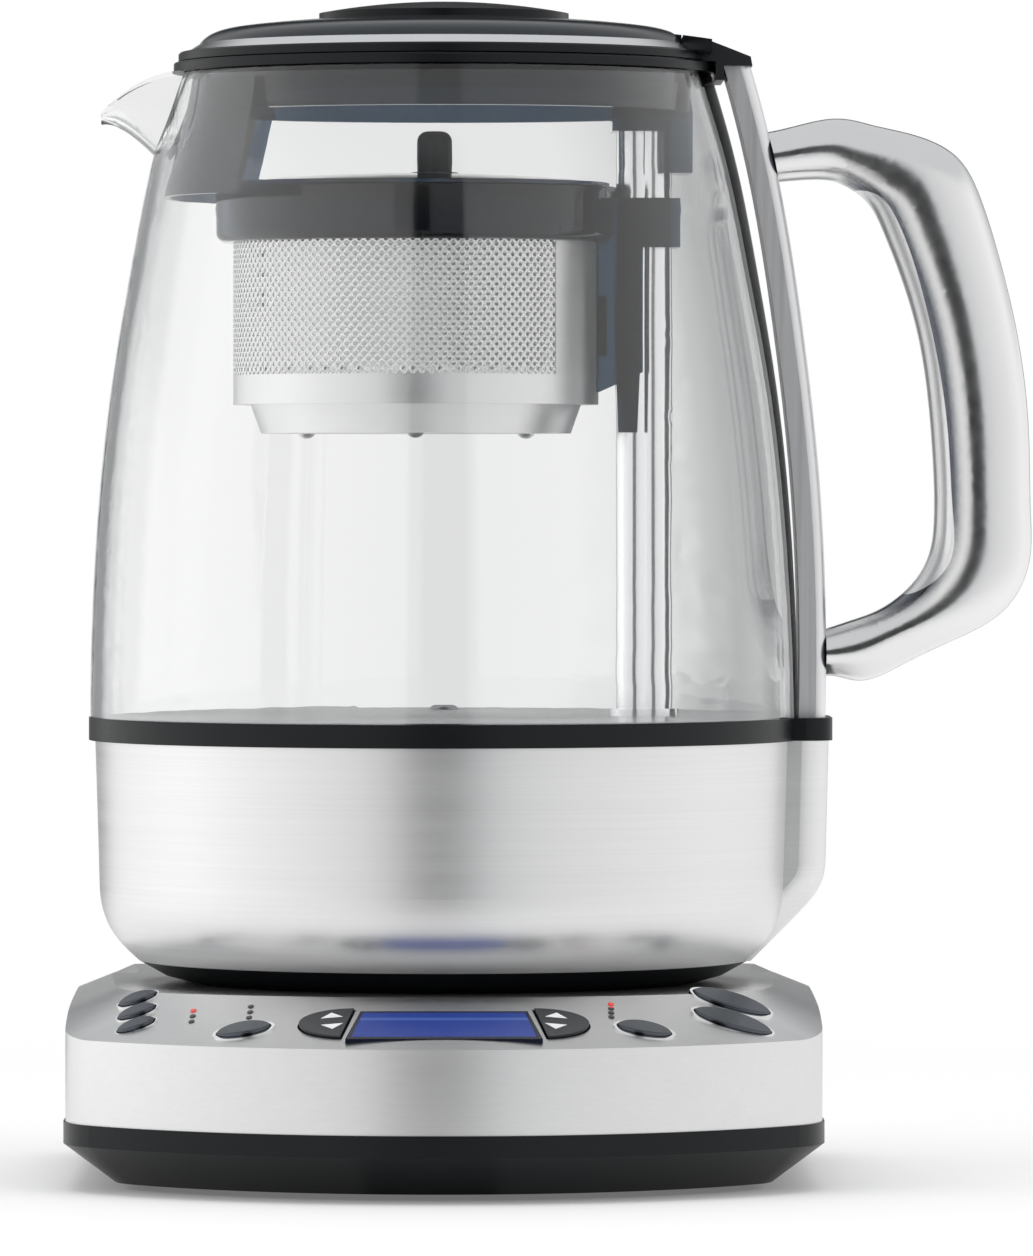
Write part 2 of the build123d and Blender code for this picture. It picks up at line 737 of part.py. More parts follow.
for name, (plane, side) in rockers.items():
    with BuildPart() as rocker:
        with BuildSketch(plane.offset(-rocker_skirt)):
            half_moon(side)
        extrude(amount=rocker_skirt + rocker_height)
        with BuildSketch(shifted(plane, x=side * rocker_length / 2, z=-rocker_rib_depth)):
            with GridLocations(0, 2 * rocker_rib, 1, 2):
                Rectangle(switch_size, plunger_radius)
        extrude(amount=rocker_rib_depth - rocker_skirt)
        # round pivot bead under the cap, on the hinge's axis
        with BuildSketch(bead_plane(plane, side)):
            Circle(rocker_bead)
        extrude(amount=rocker_length / 4, both=True)
    finish(rocker, name)

with BuildPart() as rocker_posts:
    for plane, side in rockers.values():
        with BuildSketch(shifted(plane, x=side * rocker_length / 2, z=-board_top)):
            Rectangle(rocker_length / 2, 2 * rocker_bead)
        extrude(amount=board_top - rocker_skirt - rocker_bead - running_gap)
finish(rocker_posts, "rocker_posts")


# ================================================================ jug: foot, shell, plate
with BuildPart() as jug_foot:
    with BuildSketch(Plane.XZ):
        with BuildLine():
            Polyline(
                (socket_flange - track_width - blade_thick, jug_foot_low),
                (jug_foot_rest, jug_foot_low),
                (jug_foot_radius, jug_foot_edge),
                (shell_bottom_radius, shell_bottom),
                (shell_bottom_radius - jug_foot_ledge, shell_bottom),
                (jug_foot_radius - jug_foot_ledge, jug_foot_low + jug_foot_plate),
                (socket_flange - track_width - blade_thick, jug_foot_low + jug_foot_plate),
                close=True,
            )
        make_face()
    revolve(axis=Axis.Z)
    with BuildSketch(Plane.XY.offset(jug_foot_low)):
        Circle(socket_radius + 3 * slip_gap)
    extrude(amount=2 * jug_foot_plate, mode=Mode.SUBTRACT)
finish(jug_foot, "jug_foot")


def shell_form(inset=0.0):
    """The round cup of the shell as a solid."""
    with BuildPart() as form:
        with BuildSketch(Plane.XZ):
            with BuildLine():
                knee = (shell_knee[0] - inset, shell_knee[1])
                toe = (shell_bottom_radius - inset, shell_bottom)
                turn = between(toe, knee, shell_turn_share)
                wall_run = (shell_draft, shell_top - shell_knee[1])
                Spline(toe, turn, knee, tangents=((1, 0.9), wall_run))
                Polyline(knee, (shell_radius - inset, shell_top), (0, shell_top), (0, shell_bottom), toe)
            make_face()
        revolve(axis=Axis.Z)
    return form.part


def bulge_form(inset=0.0):
    """The shell's rounded rib below the handle as a solid."""
    half_width = bulge_half_width - inset
    with BuildPart() as form:
        with BuildSketch(Plane.XZ):
            with BuildLine():
                knee = (bulge_knee[0] - inset, bulge_knee[1])
                toe = (shell_bottom_radius - inset, shell_bottom)
                turn = between(toe, knee, bulge_turn_share)
                back = shell_bottom_radius - bulge_half_width
                wall_run = (bulge_draft, shell_top - bulge_knee[1])
                Spline(toe, turn, knee, tangents=((1, 1), wall_run))
                Polyline(
                    knee,
                    (bulge_radius - inset, shell_top),
                    (back, shell_top),
                    (back, shell_bottom),
                    toe,
                )
            make_face()
        extrude(amount=half_width, both=True)
        sides = form.edges().filter_by(lambda edge: abs(abs(edge.center().Y) - half_width) < running_gap)
        fillet(sides.filter_by(lambda edge: edge.center().X > turn[0] - bulge_round), bulge_round - inset)
    return form.part


with BuildPart() as jug_shell:
    add(shell_form())
    add(bulge_form())
    add(shell_form(shell_wall), mode=Mode.SUBTRACT)
    add(bulge_form(shell_wall), mode=Mode.SUBTRACT)
finish(jug_shell, "jug_shell")

plate_top = band_top + plate_rise
with BuildPart() as shell_band:
    with BuildSketch(Plane.XY.offset(shell_top)):
        Circle(band_radius)
    extrude(amount=band_top - shell_top)
    with BuildSketch(Plane.XY.offset(shell_top)):
        with Locations((band_nose / 2, 0)):
            Rectangle(band_nose, 2 * bulge_half_width)
    extrude(amount=band_top - shell_top)
    nose = shell_band.edges().filter_by(Axis.Z).filter_by(lambda edge: edge.center().X > band_radius)
    fillet(nose, bulge_round)
    with BuildSketch(Plane.XY.offset(shell_top)):
        Circle(band_inner - band_ledge)
    extrude(amount=band_top, mode=Mode.SUBTRACT)
    with BuildSketch(Plane.XY.offset(plate_top - plate_thick)):
        Circle(band_inner)
    extrude(amount=band_top, mode=Mode.SUBTRACT)
finish(shell_band, "shell_band")

with BuildPart() as heating_plate:
    with BuildSketch(Plane.XY.offset(plate_top - plate_thick)):
        Circle(band_inner - running_gap)
        with Locations((rail_x, 0)):
            Circle(screw_drive_radius + running_gap, mode=Mode.SUBTRACT)
        with Locations((0, probe_spot)):
            Circle(probe_radius, mode=Mode.SUBTRACT)
    extrude(amount=plate_thick)
finish(heating_plate, "heating_plate")

with BuildPart() as heating_element:
    with BuildSketch(Plane.XY.offset(plate_top - plate_thick - element_height)):
        Circle(element_radii[1])
        Circle(element_radii[0], mode=Mode.SUBTRACT)
    extrude(amount=element_height)
    fillet(heating_element.edges().group_by(Axis.Z)[0], element_height / 3)
finish(heating_element, "heating_element")

with BuildPart() as temperature_probe:
    with BuildSketch(Plane.XY.offset(plate_top + probe_rise - probe_length)):
        with Locations((0, probe_spot)):
            Circle(probe_radius)
    extrude(amount=probe_length)
    fillet(temperature_probe.edges().group_by(Axis.Z)[-1], probe_radius / 2)
finish(temperature_probe, "temperature_probe")

plug_floor = jug_foot_low + jug_foot_plate
plug_bore_top = socket_height + slip_gap
with BuildPart() as jug_plug:
    with BuildSketch(Plane.XY.offset(plug_floor)):
        Circle(plug_flange)
    extrude(amount=plug_flange_thick)
    with BuildSketch(Plane.XY.offset(plug_floor)):
        Circle(socket_radius + slip_gap + plug_wall)
    extrude(amount=plug_bore_top + plug_top_thick - plug_floor)
    with BuildSketch(Plane.XY.offset(plug_floor)):
        Circle(socket_radius + slip_gap)
    extrude(amount=plug_bore_top - plug_floor, mode=Mode.SUBTRACT)
    fillet(jug_plug.edges().group_by(Axis.Z)[-1], plug_wall / 3)
finish(jug_plug, "jug_plug")

with BuildPart() as jug_contacts:
    for radius in track_radii:
        blade_inner = radius + (track_width - contact_thick - blade_thick) / 2
        with BuildSketch(Plane.XY.offset(plug_bore_top - blade_length)):
            Circle(blade_inner + blade_thick)
            Circle(blade_inner, mode=Mode.SUBTRACT)
        extrude(amount=blade_length)
finish(jug_contacts, "jug_contacts")


# ================================================================ jug: glass, spout, rim
def glass_form(inset=0.0):
    """The round body of the glass as a solid, drawn in by inset."""
    with BuildPart() as form:
        with BuildSketch(Plane.XZ):
            with BuildLine():
                side = Spline(
                    *[(radius - inset, band_top + height) for radius, height in glass_profile],
                    tangents=((0, 1), (-0.3, 1)),
                )
                Polyline(side @ 1, (0, glass_top), (0, band_top), side @ 0)
            make_face()
        revolve(axis=Axis.Z)
    return form.part


def spout_outline(low, high, half_width):
    """A trough: round below, straight sides, open or flat at the top."""
    shoulder = low + min(0.9 * half_width, 0.7 * (high - low))
    Polyline((-half_width, shoulder), (-half_width, high), (half_width, high), (half_width, shoulder))
    ThreePointArc((-half_width, shoulder), (0, low), (half_width, shoulder))


def spout_form(inset=0.0, rise=0.0):
    """The spout as a solid; inset and rise give the channel inside it."""
    with BuildPart() as form:
        for reach, low, high, half_width in spout_sections:
            with BuildSketch(Plane.YZ.offset(-reach)):
                with BuildLine():
                    spout_outline(glass_top - low + inset, glass_top - high + rise, half_width - inset)
                make_face()
        loft()
    return form.part


with BuildPart() as jug_glass:
    add(glass_form())
    add(spout_form())
    add(glass_form(glass_wall), mode=Mode.SUBTRACT)
    add(spout_form(spout_wall, spout_wall), mode=Mode.SUBTRACT)
    with BuildSketch(Plane.XY.offset(glass_top)):
        Circle(glass_profile[0][0])
    extrude(amount=glass_wall, mode=Mode.SUBTRACT)
finish(jug_glass, "jug_glass")

with BuildPart() as rim_collar:
    with BuildSketch(Plane.XY.offset(glass_top)):
        Circle(collar_outer)
        Circle(collar_inner, mode=Mode.SUBTRACT)
    extrude(amount=collar_top - glass_top)
    top_rims = rim_collar.edges().filter_by(GeomType.CIRCLE).group_by(Axis.Z)[-1]
    fillet(top_rims.sort_by(SortBy.RADIUS)[-1], slip_gap)
finish(rim_collar, "rim_collar")


def rail_outline(gap=0.0):
    """Two joined columns, seen from above."""
    with Locations((rail_x - rail_offset, 0), (rail_x + rail_offset, 0)):
        Circle(rail_radius + gap)


with BuildPart() as inner_sleeve:
    with BuildSketch(Plane.XY.offset(sleeve_bottom)):
        Circle(sleeve_outer)
        Circle(sleeve_outer - sleeve_wall, mode=Mode.SUBTRACT)
    extrude(amount=glass_top - sleeve_bottom)
    # bracket that holds the head of the rail
    rail_left = rail_x - rail_offset - rail_radius
    rail_right = rail_x + rail_offset + rail_radius
    with BuildSketch(Plane.XZ):
        with BuildLine():
            Polyline(
                (rail_left - sleeve_wall / 2, rail_top + sleeve_wall / 2),
                (rail_left - sleeve_wall / 2, bracket_step),
                (rail_right - sleeve_wall, bracket_step),
                (rail_right - sleeve_wall, bracket_low),
                (rail_right + 2 * sleeve_wall, bracket_low),
                (sleeve_outer, sleeve_bottom),
                (sleeve_outer - sleeve_wall / 2, sleeve_bottom + 3 * sleeve_wall),
                (rail_right, rail_top + sleeve_wall / 2),
                close=True,
            )
        make_face()
    extrude(amount=bracket_half_width, both=True)
    with BuildSketch(Plane.XY.offset(bracket_low)):
        rail_outline()
    extrude(amount=rail_top - bracket_low, mode=Mode.SUBTRACT)
finish(inner_sleeve, "inner_sleeve")

with BuildPart() as spout_filter:
    with BuildSketch(Plane.XZ.rotated((0, 0, -filter_half_angle))):
        with BuildLine():
            Polyline(
                (-sleeve_outer, filter_top),
                (-sleeve_outer - filter_thick, filter_top),
                (-sleeve_outer - 2 * filter_thick, sleeve_bottom),
                (-filter_low_radius - filter_thick, filter_low),
                (-filter_low_radius, filter_low),
                (-sleeve_outer, sleeve_bottom),
                close=True,
            )
        make_face()
    revolve(axis=Axis.Z, revolution_arc=2 * filter_half_angle)
    # staggered holes
    for row in range(filter_rows):
        rise = (row - (filter_rows - 1) / 2) * filter_row_pitch
        for number in range(filter_columns):
            stagger = number + (row % 2) / 2 - filter_columns / 2 + 1 / 4
            turn = radians(stagger * filter_hole_angle)
            across = Plane(
                (0, 0, (filter_top + filter_low) / 2 + rise),
                x_dir=(-sin(turn), cos(turn), 0),
                z_dir=(-cos(turn), -sin(turn), 0),
            )
            with BuildSketch(across):
                Circle(filter_hole / 2)
            extrude(amount=2 * filter_low_radius, mode=Mode.SUBTRACT)
finish(spout_filter, "spout_filter")


# ================================================================ rail and lift drive
with BuildPart() as lift_rail:
    with BuildSketch(Plane.XY.offset(plate_top)):
        rail_outline(rail_foot)
    extrude(amount=rail_foot)
    with BuildSketch(Plane.XY.offset(plate_top)):
        rail_outline()
    extrude(amount=rail_top - plate_top)
    with BuildSketch(Plane.XY.offset(plate_top)):
        rail_outline(-rail_wall)
    extrude(amount=rail_top - rail_wall - plate_top, mode=Mode.SUBTRACT)
finish(lift_rail, "lift_rail")

motor_top = plate_top - plate_thick
with BuildPart() as lift_motor:
    with BuildSketch(Plane.XY.offset(motor_top - motor_length)):
        with Locations((rail_x, 0)):
            Circle(motor_radius)
    extrude(amount=motor_length)
    chamfer(lift_motor.edges().group_by(Axis.Z)[0], motor_radius / 8)
    with BuildSketch(Plane.XY.offset(motor_top - motor_length / 3)):
        with Locations((rail_x, 0)):
            Circle(screw_drive_radius + running_gap)
    extrude(amount=motor_length, mode=Mode.SUBTRACT)
finish(lift_motor, "lift_motor")

with BuildPart() as lead_screw:
    with BuildSketch(Plane.XY.offset(motor_top - motor_length / 3 + seat_gap)):
        with Locations((rail_x, 0)):
            Circle(screw_drive_radius)
    extrude(amount=screw_drive_top - motor_top + motor_length / 3 - seat_gap)
finish(lead_screw, "lead_screw")

with BuildPart() as magnet_carriage:
    with BuildSketch(Plane.XY.offset(carriage_low)):
        rail_outline(-rail_wall - seat_gap)
        with Locations((rail_x, 0)):
            Circle(screw_drive_radius + running_gap, mode=Mode.SUBTRACT)
    extrude(amount=carriage_height)
finish(magnet_carriage, "magnet_carriage")


# ================================================================ basket
basket_axis = Axis((basket_x, 0, 0), (0, 0, 1))
basket_section = Plane.XZ.shift_origin((basket_x, 0, 0))

with BuildPart() as basket_ring:
    with BuildSketch(Plane.XY.offset(ring_bottom)):
        with Locations((basket_x, 0)):
            Circle(ring_radius)
    extrude(amount=ring_top - ring_bottom)
    fillet(basket_ring.edges().group_by(Axis.Z)[0], ring_round)
    with BuildSketch(Plane.XY.offset(ring_top - 2 * ring_bead)):
        with Locations((basket_x, 0)):
            Circle(ring_radius + ring_bead)
    extrude(amount=2 * ring_bead)
    fillet(basket_ring.edges().group_by(Axis.Z)[-1], ring_bead)
    # clip round the rail, spine below it and the two prongs at the spine's foot
    with BuildSketch(Plane.XY.offset(clip_low)):
        with Locations(((basket_x + ring_inner + clip_reach) / 2, 0)):
            Rectangle(clip_reach - basket_x - ring_inner, 2 * clip_half_width)
    extrude(amount=clip_top - clip_low)
    with BuildSketch(Plane.XZ):
        with BuildLine():
            Polyline(
                (basket_x, ring_bottom + ring_round),
                (basket_x, spine_low),
                (basket_x + mesh_radius, spine_low),
                (spine_reach, spine_low + spine_slant),
                (spine_reach, ring_bottom + ring_round),
                close=True,
            )
        make_face()
    extrude(amount=spine_half_width, both=True)
    with BuildSketch(Plane.XZ):
        with BuildLine():
            Polyline(
                (prong_spots[0], spine_low + spine_slant),
                (prong_spots[0] + ring_bead, prong_low),
                (prong_spots[1] - ring_bead, prong_low),
                (prong_spots[1], spine_low + spine_slant),
                close=True,
            )
        make_face()
    extrude(amount=spine_half_width, both=True)
    with BuildSketch(Plane.XY.offset(cup_low)):
        with Locations((basket_x, 0)):
            Circle(mesh_radius)
    extrude(amount=mesh_top - cup_low, mode=Mode.SUBTRACT)
    with BuildSketch(Plane.XY.offset(mesh_top)):
        with Locations((basket_x, 0)):
            Circle(ring_inner)
    extrude(amount=ring_top, mode=Mode.SUBTRACT)
    with BuildSketch(Plane.XY.offset(prong_low)):
        rail_outline(slip_gap)
    extrude(amount=ring_top, mode=Mode.SUBTRACT)
    with BuildSketch(Plane.XY.offset(magnet_low)):
        with Locations((basket_x + mesh_radius, 0)):
            Rectangle(2 * magnet_size[0], magnet_size[1])
    extrude(amount=magnet_size[2], mode=Mode.SUBTRACT)
finish(basket_ring, "basket_ring")

with BuildPart() as basket_magnet:
    with BuildSketch(Plane.XY.offset(magnet_low)):
        with Locations((basket_x + mesh_radius + magnet_size[0] / 2, 0)):
            Rectangle(magnet_size[0], magnet_size[1])
    extrude(amount=magnet_size[2])
finish(basket_magnet, "basket_magnet")

with BuildPart() as basket_mesh:
    with BuildSketch(Plane.XY.offset(mesh_bottom)):
        with Locations((basket_x, 0)):
            Circle(mesh_radius)
            Circle(mesh_radius - mesh_wall, mode=Mode.SUBTRACT)
    extrude(amount=mesh_top - mesh_bottom)
finish(basket_mesh, "basket_mesh")

with BuildPart() as basket_floor:
    with BuildSketch(basket_section):
        with BuildLine():
            Polyline(
                (0, cup_low),
                (cup_radius - 2 * cup_wall, cup_low),
                (cup_radius, band_low),
                (mesh_radius, band_low),
                (mesh_radius, mesh_bottom),
                (mesh_radius - 1.5 * cup_wall, mesh_bottom),
                (mesh_radius - 1.5 * cup_wall, band_low + cup_wall),
                (cup_radius - cup_wall, band_low + cup_wall),
                (cup_radius - 3 * cup_wall, cup_low + cup_wall),
                (0, cup_low + cup_wall),
                close=True,
            )
        make_face()
    revolve(axis=basket_axis)
    with Locations((basket_x, 0, cup_low + dimple_rise)):
        with PolarLocations(dimple_radius, 3, 30):
            Sphere(2 * dimple_rise)
    with BuildSketch(Plane.XY.offset(cup_low + cup_wall)):
        with Locations((basket_x, 0)):
            Circle(cup_radius - 3 * cup_wall)
    extrude(amount=2 * cup_wall, mode=Mode.SUBTRACT)
finish(basket_floor, "basket_floor")

basket_lid_low = ring_top + seat_gap
with BuildPart() as basket_lid:
    with BuildSketch(basket_section):
        with BuildLine():
            edge = (basket_lid_radius, basket_lid_low + basket_lid_wall / 2)
            skirt = ring_inner - slip_gap
            dome = TangentArc((0, basket_lid_low + basket_lid_rise), edge, tangent=(1, 0))
            Polyline(
                edge,
                (basket_lid_radius, basket_lid_low),
                (skirt, basket_lid_low),
                (skirt, basket_lid_low - basket_lid_skirt),
                (skirt - basket_lid_wall, basket_lid_low - basket_lid_skirt),
                (skirt - basket_lid_wall, basket_lid_low - basket_lid_wall / 2),
                (0, basket_lid_low + basket_lid_rise - basket_lid_wall),
                (0, basket_lid_low + basket_lid_rise),
            )
        make_face()
    revolve(axis=basket_axis)
    with BuildSketch(Plane.XY.offset(basket_lid_low + basket_lid_rise - basket_lid_wall)):
        with Locations((knob_x, 0)):
            Circle(knob_radius + basket_lid_wall)
    extrude(amount=knob_seat - basket_lid_low - basket_lid_rise + basket_lid_wall)
finish(basket_lid, "basket_lid")

with BuildPart() as basket_lid_knob:
    with BuildSketch(Plane.XY.offset(knob_seat)):
        with Locations((knob_x, 0)):
            Circle(knob_radius)
    extrude(amount=knob_top - knob_seat)
    fillet(basket_lid_knob.edges().group_by(Axis.Z)[-1], 0.6 * knob_radius)
finish(basket_lid_knob, "basket_lid_knob")


# ================================================================ jug lid
def tongue_form(gap=0.0):
    """The rounded notch in the lid towards the handle, as an upright block."""
    with BuildPart() as form:
        with BuildSketch(Plane.XY.offset(lid_low)):
            with Locations((tongue_x + tongue_radius, 0)):
                Circle(tongue_radius - gap)
        extrude(amount=lid_height - lid_low)
    return form.part


# the lid's slope towards the handle, seen from the side; tongue and cap share it
slope_start = (tongue_x - trim_width, dome_shoulder[1] - dome_wall / 2)
slope_end = (lid_radius, trim_top + slip_gap)
tongue_block = tongue_form()

with BuildPart() as lid_tongue_form:
    with BuildSketch(Plane.XZ):
        with BuildLine():
            Polyline(
                slope_start,
                slope_end,
                (lid_radius, lid_low + lid_frame_height / 2),
                (slope_start[0], lid_low + lid_frame_height / 2),
                close=True,
            )
        make_face()
    extrude(amount=tongue_radius, both=True)
    add(tongue_form(running_gap), mode=Mode.INTERSECT)

with BuildPart() as lid_frame:
    with BuildSketch(Plane.XY.offset(lid_low)):
        Circle(lid_radius)
    extrude(amount=lid_frame_height)
    chamfer(lid_frame.edges().group_by(Axis.Z)[-1], slip_gap)
    # tongue that fills the notch in dome and trim, and room for the handle's cap
    add(lid_tongue_form.part)
    with BuildSketch(Plane.XY.offset(lid_low)):
        with Locations((cap_x - slip_gap + lid_radius / 2, 0)):
            Rectangle(lid_radius, 2 * (cap_half_width + slip_gap))
    extrude(amount=lid_height - lid_low, mode=Mode.SUBTRACT)
finish(lid_frame, "lid_frame")

with BuildPart() as lid_plug:
    with BuildSketch(Plane.XY.offset(plug_low)):
        Circle(plug_radius)
    extrude(amount=lid_low - plug_low)
    chamfer(lid_plug.edges().group_by(Axis.Z)[0], plug_shell / 2)
    with BuildSketch(Plane.XY.offset(plug_low + plug_shell)):
        Circle(plug_radius - plug_shell)
    extrude(amount=lid_low, mode=Mode.SUBTRACT)
finish(lid_plug, "lid_plug")

with BuildPart() as lid_seal:
    with BuildSketch(Plane.XY.offset(seal_low)):
        Circle(seal_radius)
    extrude(amount=seal_thick)
    fillet(lid_seal.edges(), seal_thick / 3)
    with BuildSketch(Plane.XY.offset(seal_low)):
        Circle(plug_radius)
    extrude(amount=seal_thick, mode=Mode.SUBTRACT)
finish(lid_seal, "lid_seal")

with BuildPart() as lid_trim_ring:
    with BuildSketch(Plane.XZ):
        with BuildLine():
            Polyline(
                (trim_inner - trim_seat, lid_frame_top),
                (trim_outer, lid_frame_top),
                (trim_inner, trim_top),
                (trim_inner - trim_seat, trim_top),
                close=True,
            )
        make_face()
    revolve(axis=Axis.Z)
    add(tongue_block, mode=Mode.SUBTRACT)
finish(lid_trim_ring, "lid_trim_ring")

with BuildPart() as lid_dome:
    with BuildSketch(Plane.XZ):
        with BuildLine():
            edge = (trim_inner, trim_top)
            step = (knob_cap_radius, dome_crown)
            Spline(edge, dome_shoulder, step, tangents=((-0.5, 0.75), (-1, 0.05)))
            Polyline(
                step,
                (knob_cap_radius, knob_cap_low),
                (0, knob_cap_low),
                (0, knob_cap_low - dome_wall),
                (knob_cap_radius, knob_cap_low - dome_wall),
                (dome_shoulder[0], dome_shoulder[1] - dome_wall),
                (trim_inner - dome_edge_wall, trim_top),
                edge,
            )
        make_face()
    revolve(axis=Axis.Z)
    add(tongue_block, mode=Mode.SUBTRACT)
finish(lid_dome, "lid_dome")

with BuildPart() as lid_knob:
    with BuildSketch(Plane.XZ):
        with BuildLine():
            Line((0, knob_cap_low), (knob_cap_radius, knob_cap_low))
            Line((knob_cap_radius, knob_cap_low), (knob_cap_radius, knob_cap_edge))
            TangentArc((0, lid_height), (knob_cap_radius, knob_cap_edge), tangent=(1, 0))
            Line((0, knob_cap_low), (0, lid_height))
        make_face()
    revolve(axis=Axis.Z)
finish(lid_knob, "lid_knob")


# ================================================================ handle
strap_curve = raised(strap_profile, band_top)
grip_curve = raised(grip_profile, band_top)


def strap_reach(height):
    """Distance from the axis to the strap's outer edge at a height."""
    edge = Edge.make_spline([(x, 0, z) for x, z in strap_curve])
    return edge.find_intersection_points(Axis((0, 0, height), (1, 0, 0)))[0].X


def strap_side(thick, half_width):
    """The strap's side view, thick wide towards the jug, as a block."""
    with BuildPart() as side:
        with BuildSketch(Plane.XZ):
            with BuildLine():
                outer = Spline(*strap_curve)
                inner = Spline(*[(x - thick, z) for x, z in strap_curve])
                Line(outer @ 0, inner @ 0)
                Line(outer @ 1, inner @ 1)
            make_face()
        extrude(amount=half_width, both=True)
    return side.part


def screw_rods():
    """The two screws between strap and handle, as plain rods."""
    with BuildPart() as rods:
        for rise in handle_screw_heights:
            with BuildSketch(Plane.YZ.offset(strap_reach(band_top + rise) - handle_screw_grip)):
                with Locations((0, band_top + rise)):
                    Circle(handle_screw_radius)
            extrude(amount=handle_screw_length)
    return rods.part


handle_rods = screw_rods()

with BuildPart() as handle_strap:
    add(strap_side(strap_thick, strap_half_width))
    outer_rims = handle_strap.edges().filter_by(lambda edge: abs(edge.center().Y) > running_gap)
    fillet(outer_rims.sort_by(SortBy.LENGTH)[-4:].sort_by(Axis.X)[-2:], strap_round)
    add(glass_form(-running_gap), mode=Mode.SUBTRACT)
    add(handle_rods, mode=Mode.SUBTRACT)
finish(handle_strap, "handle_strap")

# the handle is lofted through rounded sections across its two edges
with BuildPart() as handle_form:
    for outer, inner in handle_stations:
        (outer_x, outer_z), (inner_x, inner_z) = raised((outer, inner), band_top)
        middle = ((outer_x + inner_x) / 2, 0, (outer_z + inner_z) / 2)
        across = (outer_x - inner_x, 0, outer_z - inner_z)
        along = (outer_z - inner_z, 0, inner_x - outer_x)
        half = sqrt(across[0] ** 2 + across[2] ** 2) / 2
        corner = (half * handle_fullness, handle_half_width * handle_fullness)
        with BuildSketch(Plane(middle, x_dir=across, z_dir=along)):
            with BuildLine():
                Spline(
                    (half, 0), corner, (0, handle_half_width), (-corner[0], corner[1]),
                    (-half, 0), (-corner[0], -corner[1]), (0, -handle_half_width),
                    (corner[0], -corner[1]), periodic=True,
                )
            make_face()
    loft()

with BuildPart() as grip_zone:
    with BuildSketch(Plane.XZ):
        with BuildLine():
            Spline(*grip_curve)
            Polyline(
                grip_curve[0],
                (grip_back, grip_curve[0][1]),
                (grip_back, grip_curve[-1][1]),
                grip_curve[-1],
            )
        make_face()
    extrude(amount=handle_half_width, both=True)

with BuildPart() as handle:
    add(handle_form.part)
    add(strap_side(strap_curve[1][0], 2 * handle_half_width), mode=Mode.SUBTRACT)
    add(grip_zone.part, mode=Mode.SUBTRACT)
    add(handle_rods, mode=Mode.SUBTRACT)
finish(handle, "handle")

with BuildPart() as handle_grip:
    add(handle_form.part)
    add(grip_zone.part, mode=Mode.INTERSECT)
finish(handle_grip, "handle_grip")

with BuildPart() as handle_screws:
    add(handle_rods)
finish(handle_screws, "handle_screws")

# cap over the gap between lid and strap; its foot holds the strap's head to the collar
strap_top = strap_curve[0]
cap_slope = (slope_end[1] - slope_start[1]) / (slope_end[0] - slope_start[0])
with BuildPart() as handle_cap:
    with BuildSketch(Plane.XZ):
        with BuildLine():
            Polyline(
                (cap_x, collar_top),
                (cap_x, slope_start[1] + cap_slope * (cap_x - slope_start[0])),
                slope_end,
                (strap_top[0], strap_top[1] + dome_wall),
                (strap_top[0] + slip_gap, strap_top[1]),
                (strap_top[0] - strap_thick, strap_top[1]),
                (strap_top[0] - strap_thick, strap_top[1] - cap_foot),
                (collar_outer, strap_top[1] - cap_foot),
                (collar_outer, collar_top),
                close=True,
            )
        make_face()
    extrude(amount=cap_half_width, both=True)
    with BuildSketch(Plane.XY.offset(glass_top - cap_foot)):
        with BuildLine():
            tail = strap_top[0] + 2 * slip_gap
            shoulder = (cap_x + tail) / 2
            bow = cap_half_width * cap_bow
            nose = Spline((cap_x, cap_half_width), (shoulder, bow), (tail, cap_end_half_width))
            Line(nose @ 1, (tail, -cap_end_half_width))
            back = Spline((tail, -cap_end_half_width), (shoulder, -bow), (cap_x, -cap_half_width))
            Line(back @ 1, nose @ 0)
        make_face()
    extrude(amount=lid_height - glass_top + cap_foot, mode=Mode.INTERSECT)
    add(glass_form(-running_gap), mode=Mode.SUBTRACT)
finish(handle_cap, "handle_cap")
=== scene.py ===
import math

import bpy
from mathutils import Matrix, Vector


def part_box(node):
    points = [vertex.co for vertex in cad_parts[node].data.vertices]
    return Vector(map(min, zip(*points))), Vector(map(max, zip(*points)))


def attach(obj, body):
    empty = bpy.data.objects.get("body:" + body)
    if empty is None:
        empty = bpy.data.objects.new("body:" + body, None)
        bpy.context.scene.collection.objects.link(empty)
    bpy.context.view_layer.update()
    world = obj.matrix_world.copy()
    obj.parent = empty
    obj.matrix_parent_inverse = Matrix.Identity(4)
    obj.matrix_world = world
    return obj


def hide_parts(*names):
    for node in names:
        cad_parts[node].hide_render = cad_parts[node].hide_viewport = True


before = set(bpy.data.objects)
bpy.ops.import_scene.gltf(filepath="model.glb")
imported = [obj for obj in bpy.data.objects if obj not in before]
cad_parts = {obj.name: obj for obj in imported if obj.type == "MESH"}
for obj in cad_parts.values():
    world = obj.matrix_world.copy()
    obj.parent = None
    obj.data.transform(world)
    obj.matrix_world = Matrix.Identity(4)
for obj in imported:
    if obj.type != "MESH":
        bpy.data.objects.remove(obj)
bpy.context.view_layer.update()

# Automatic tea maker. Metres, +Z up, origin on the jug's axis at table height.
# The handle is at +X, the spout at -X and the control deck faces -Y.
MM = 0.001


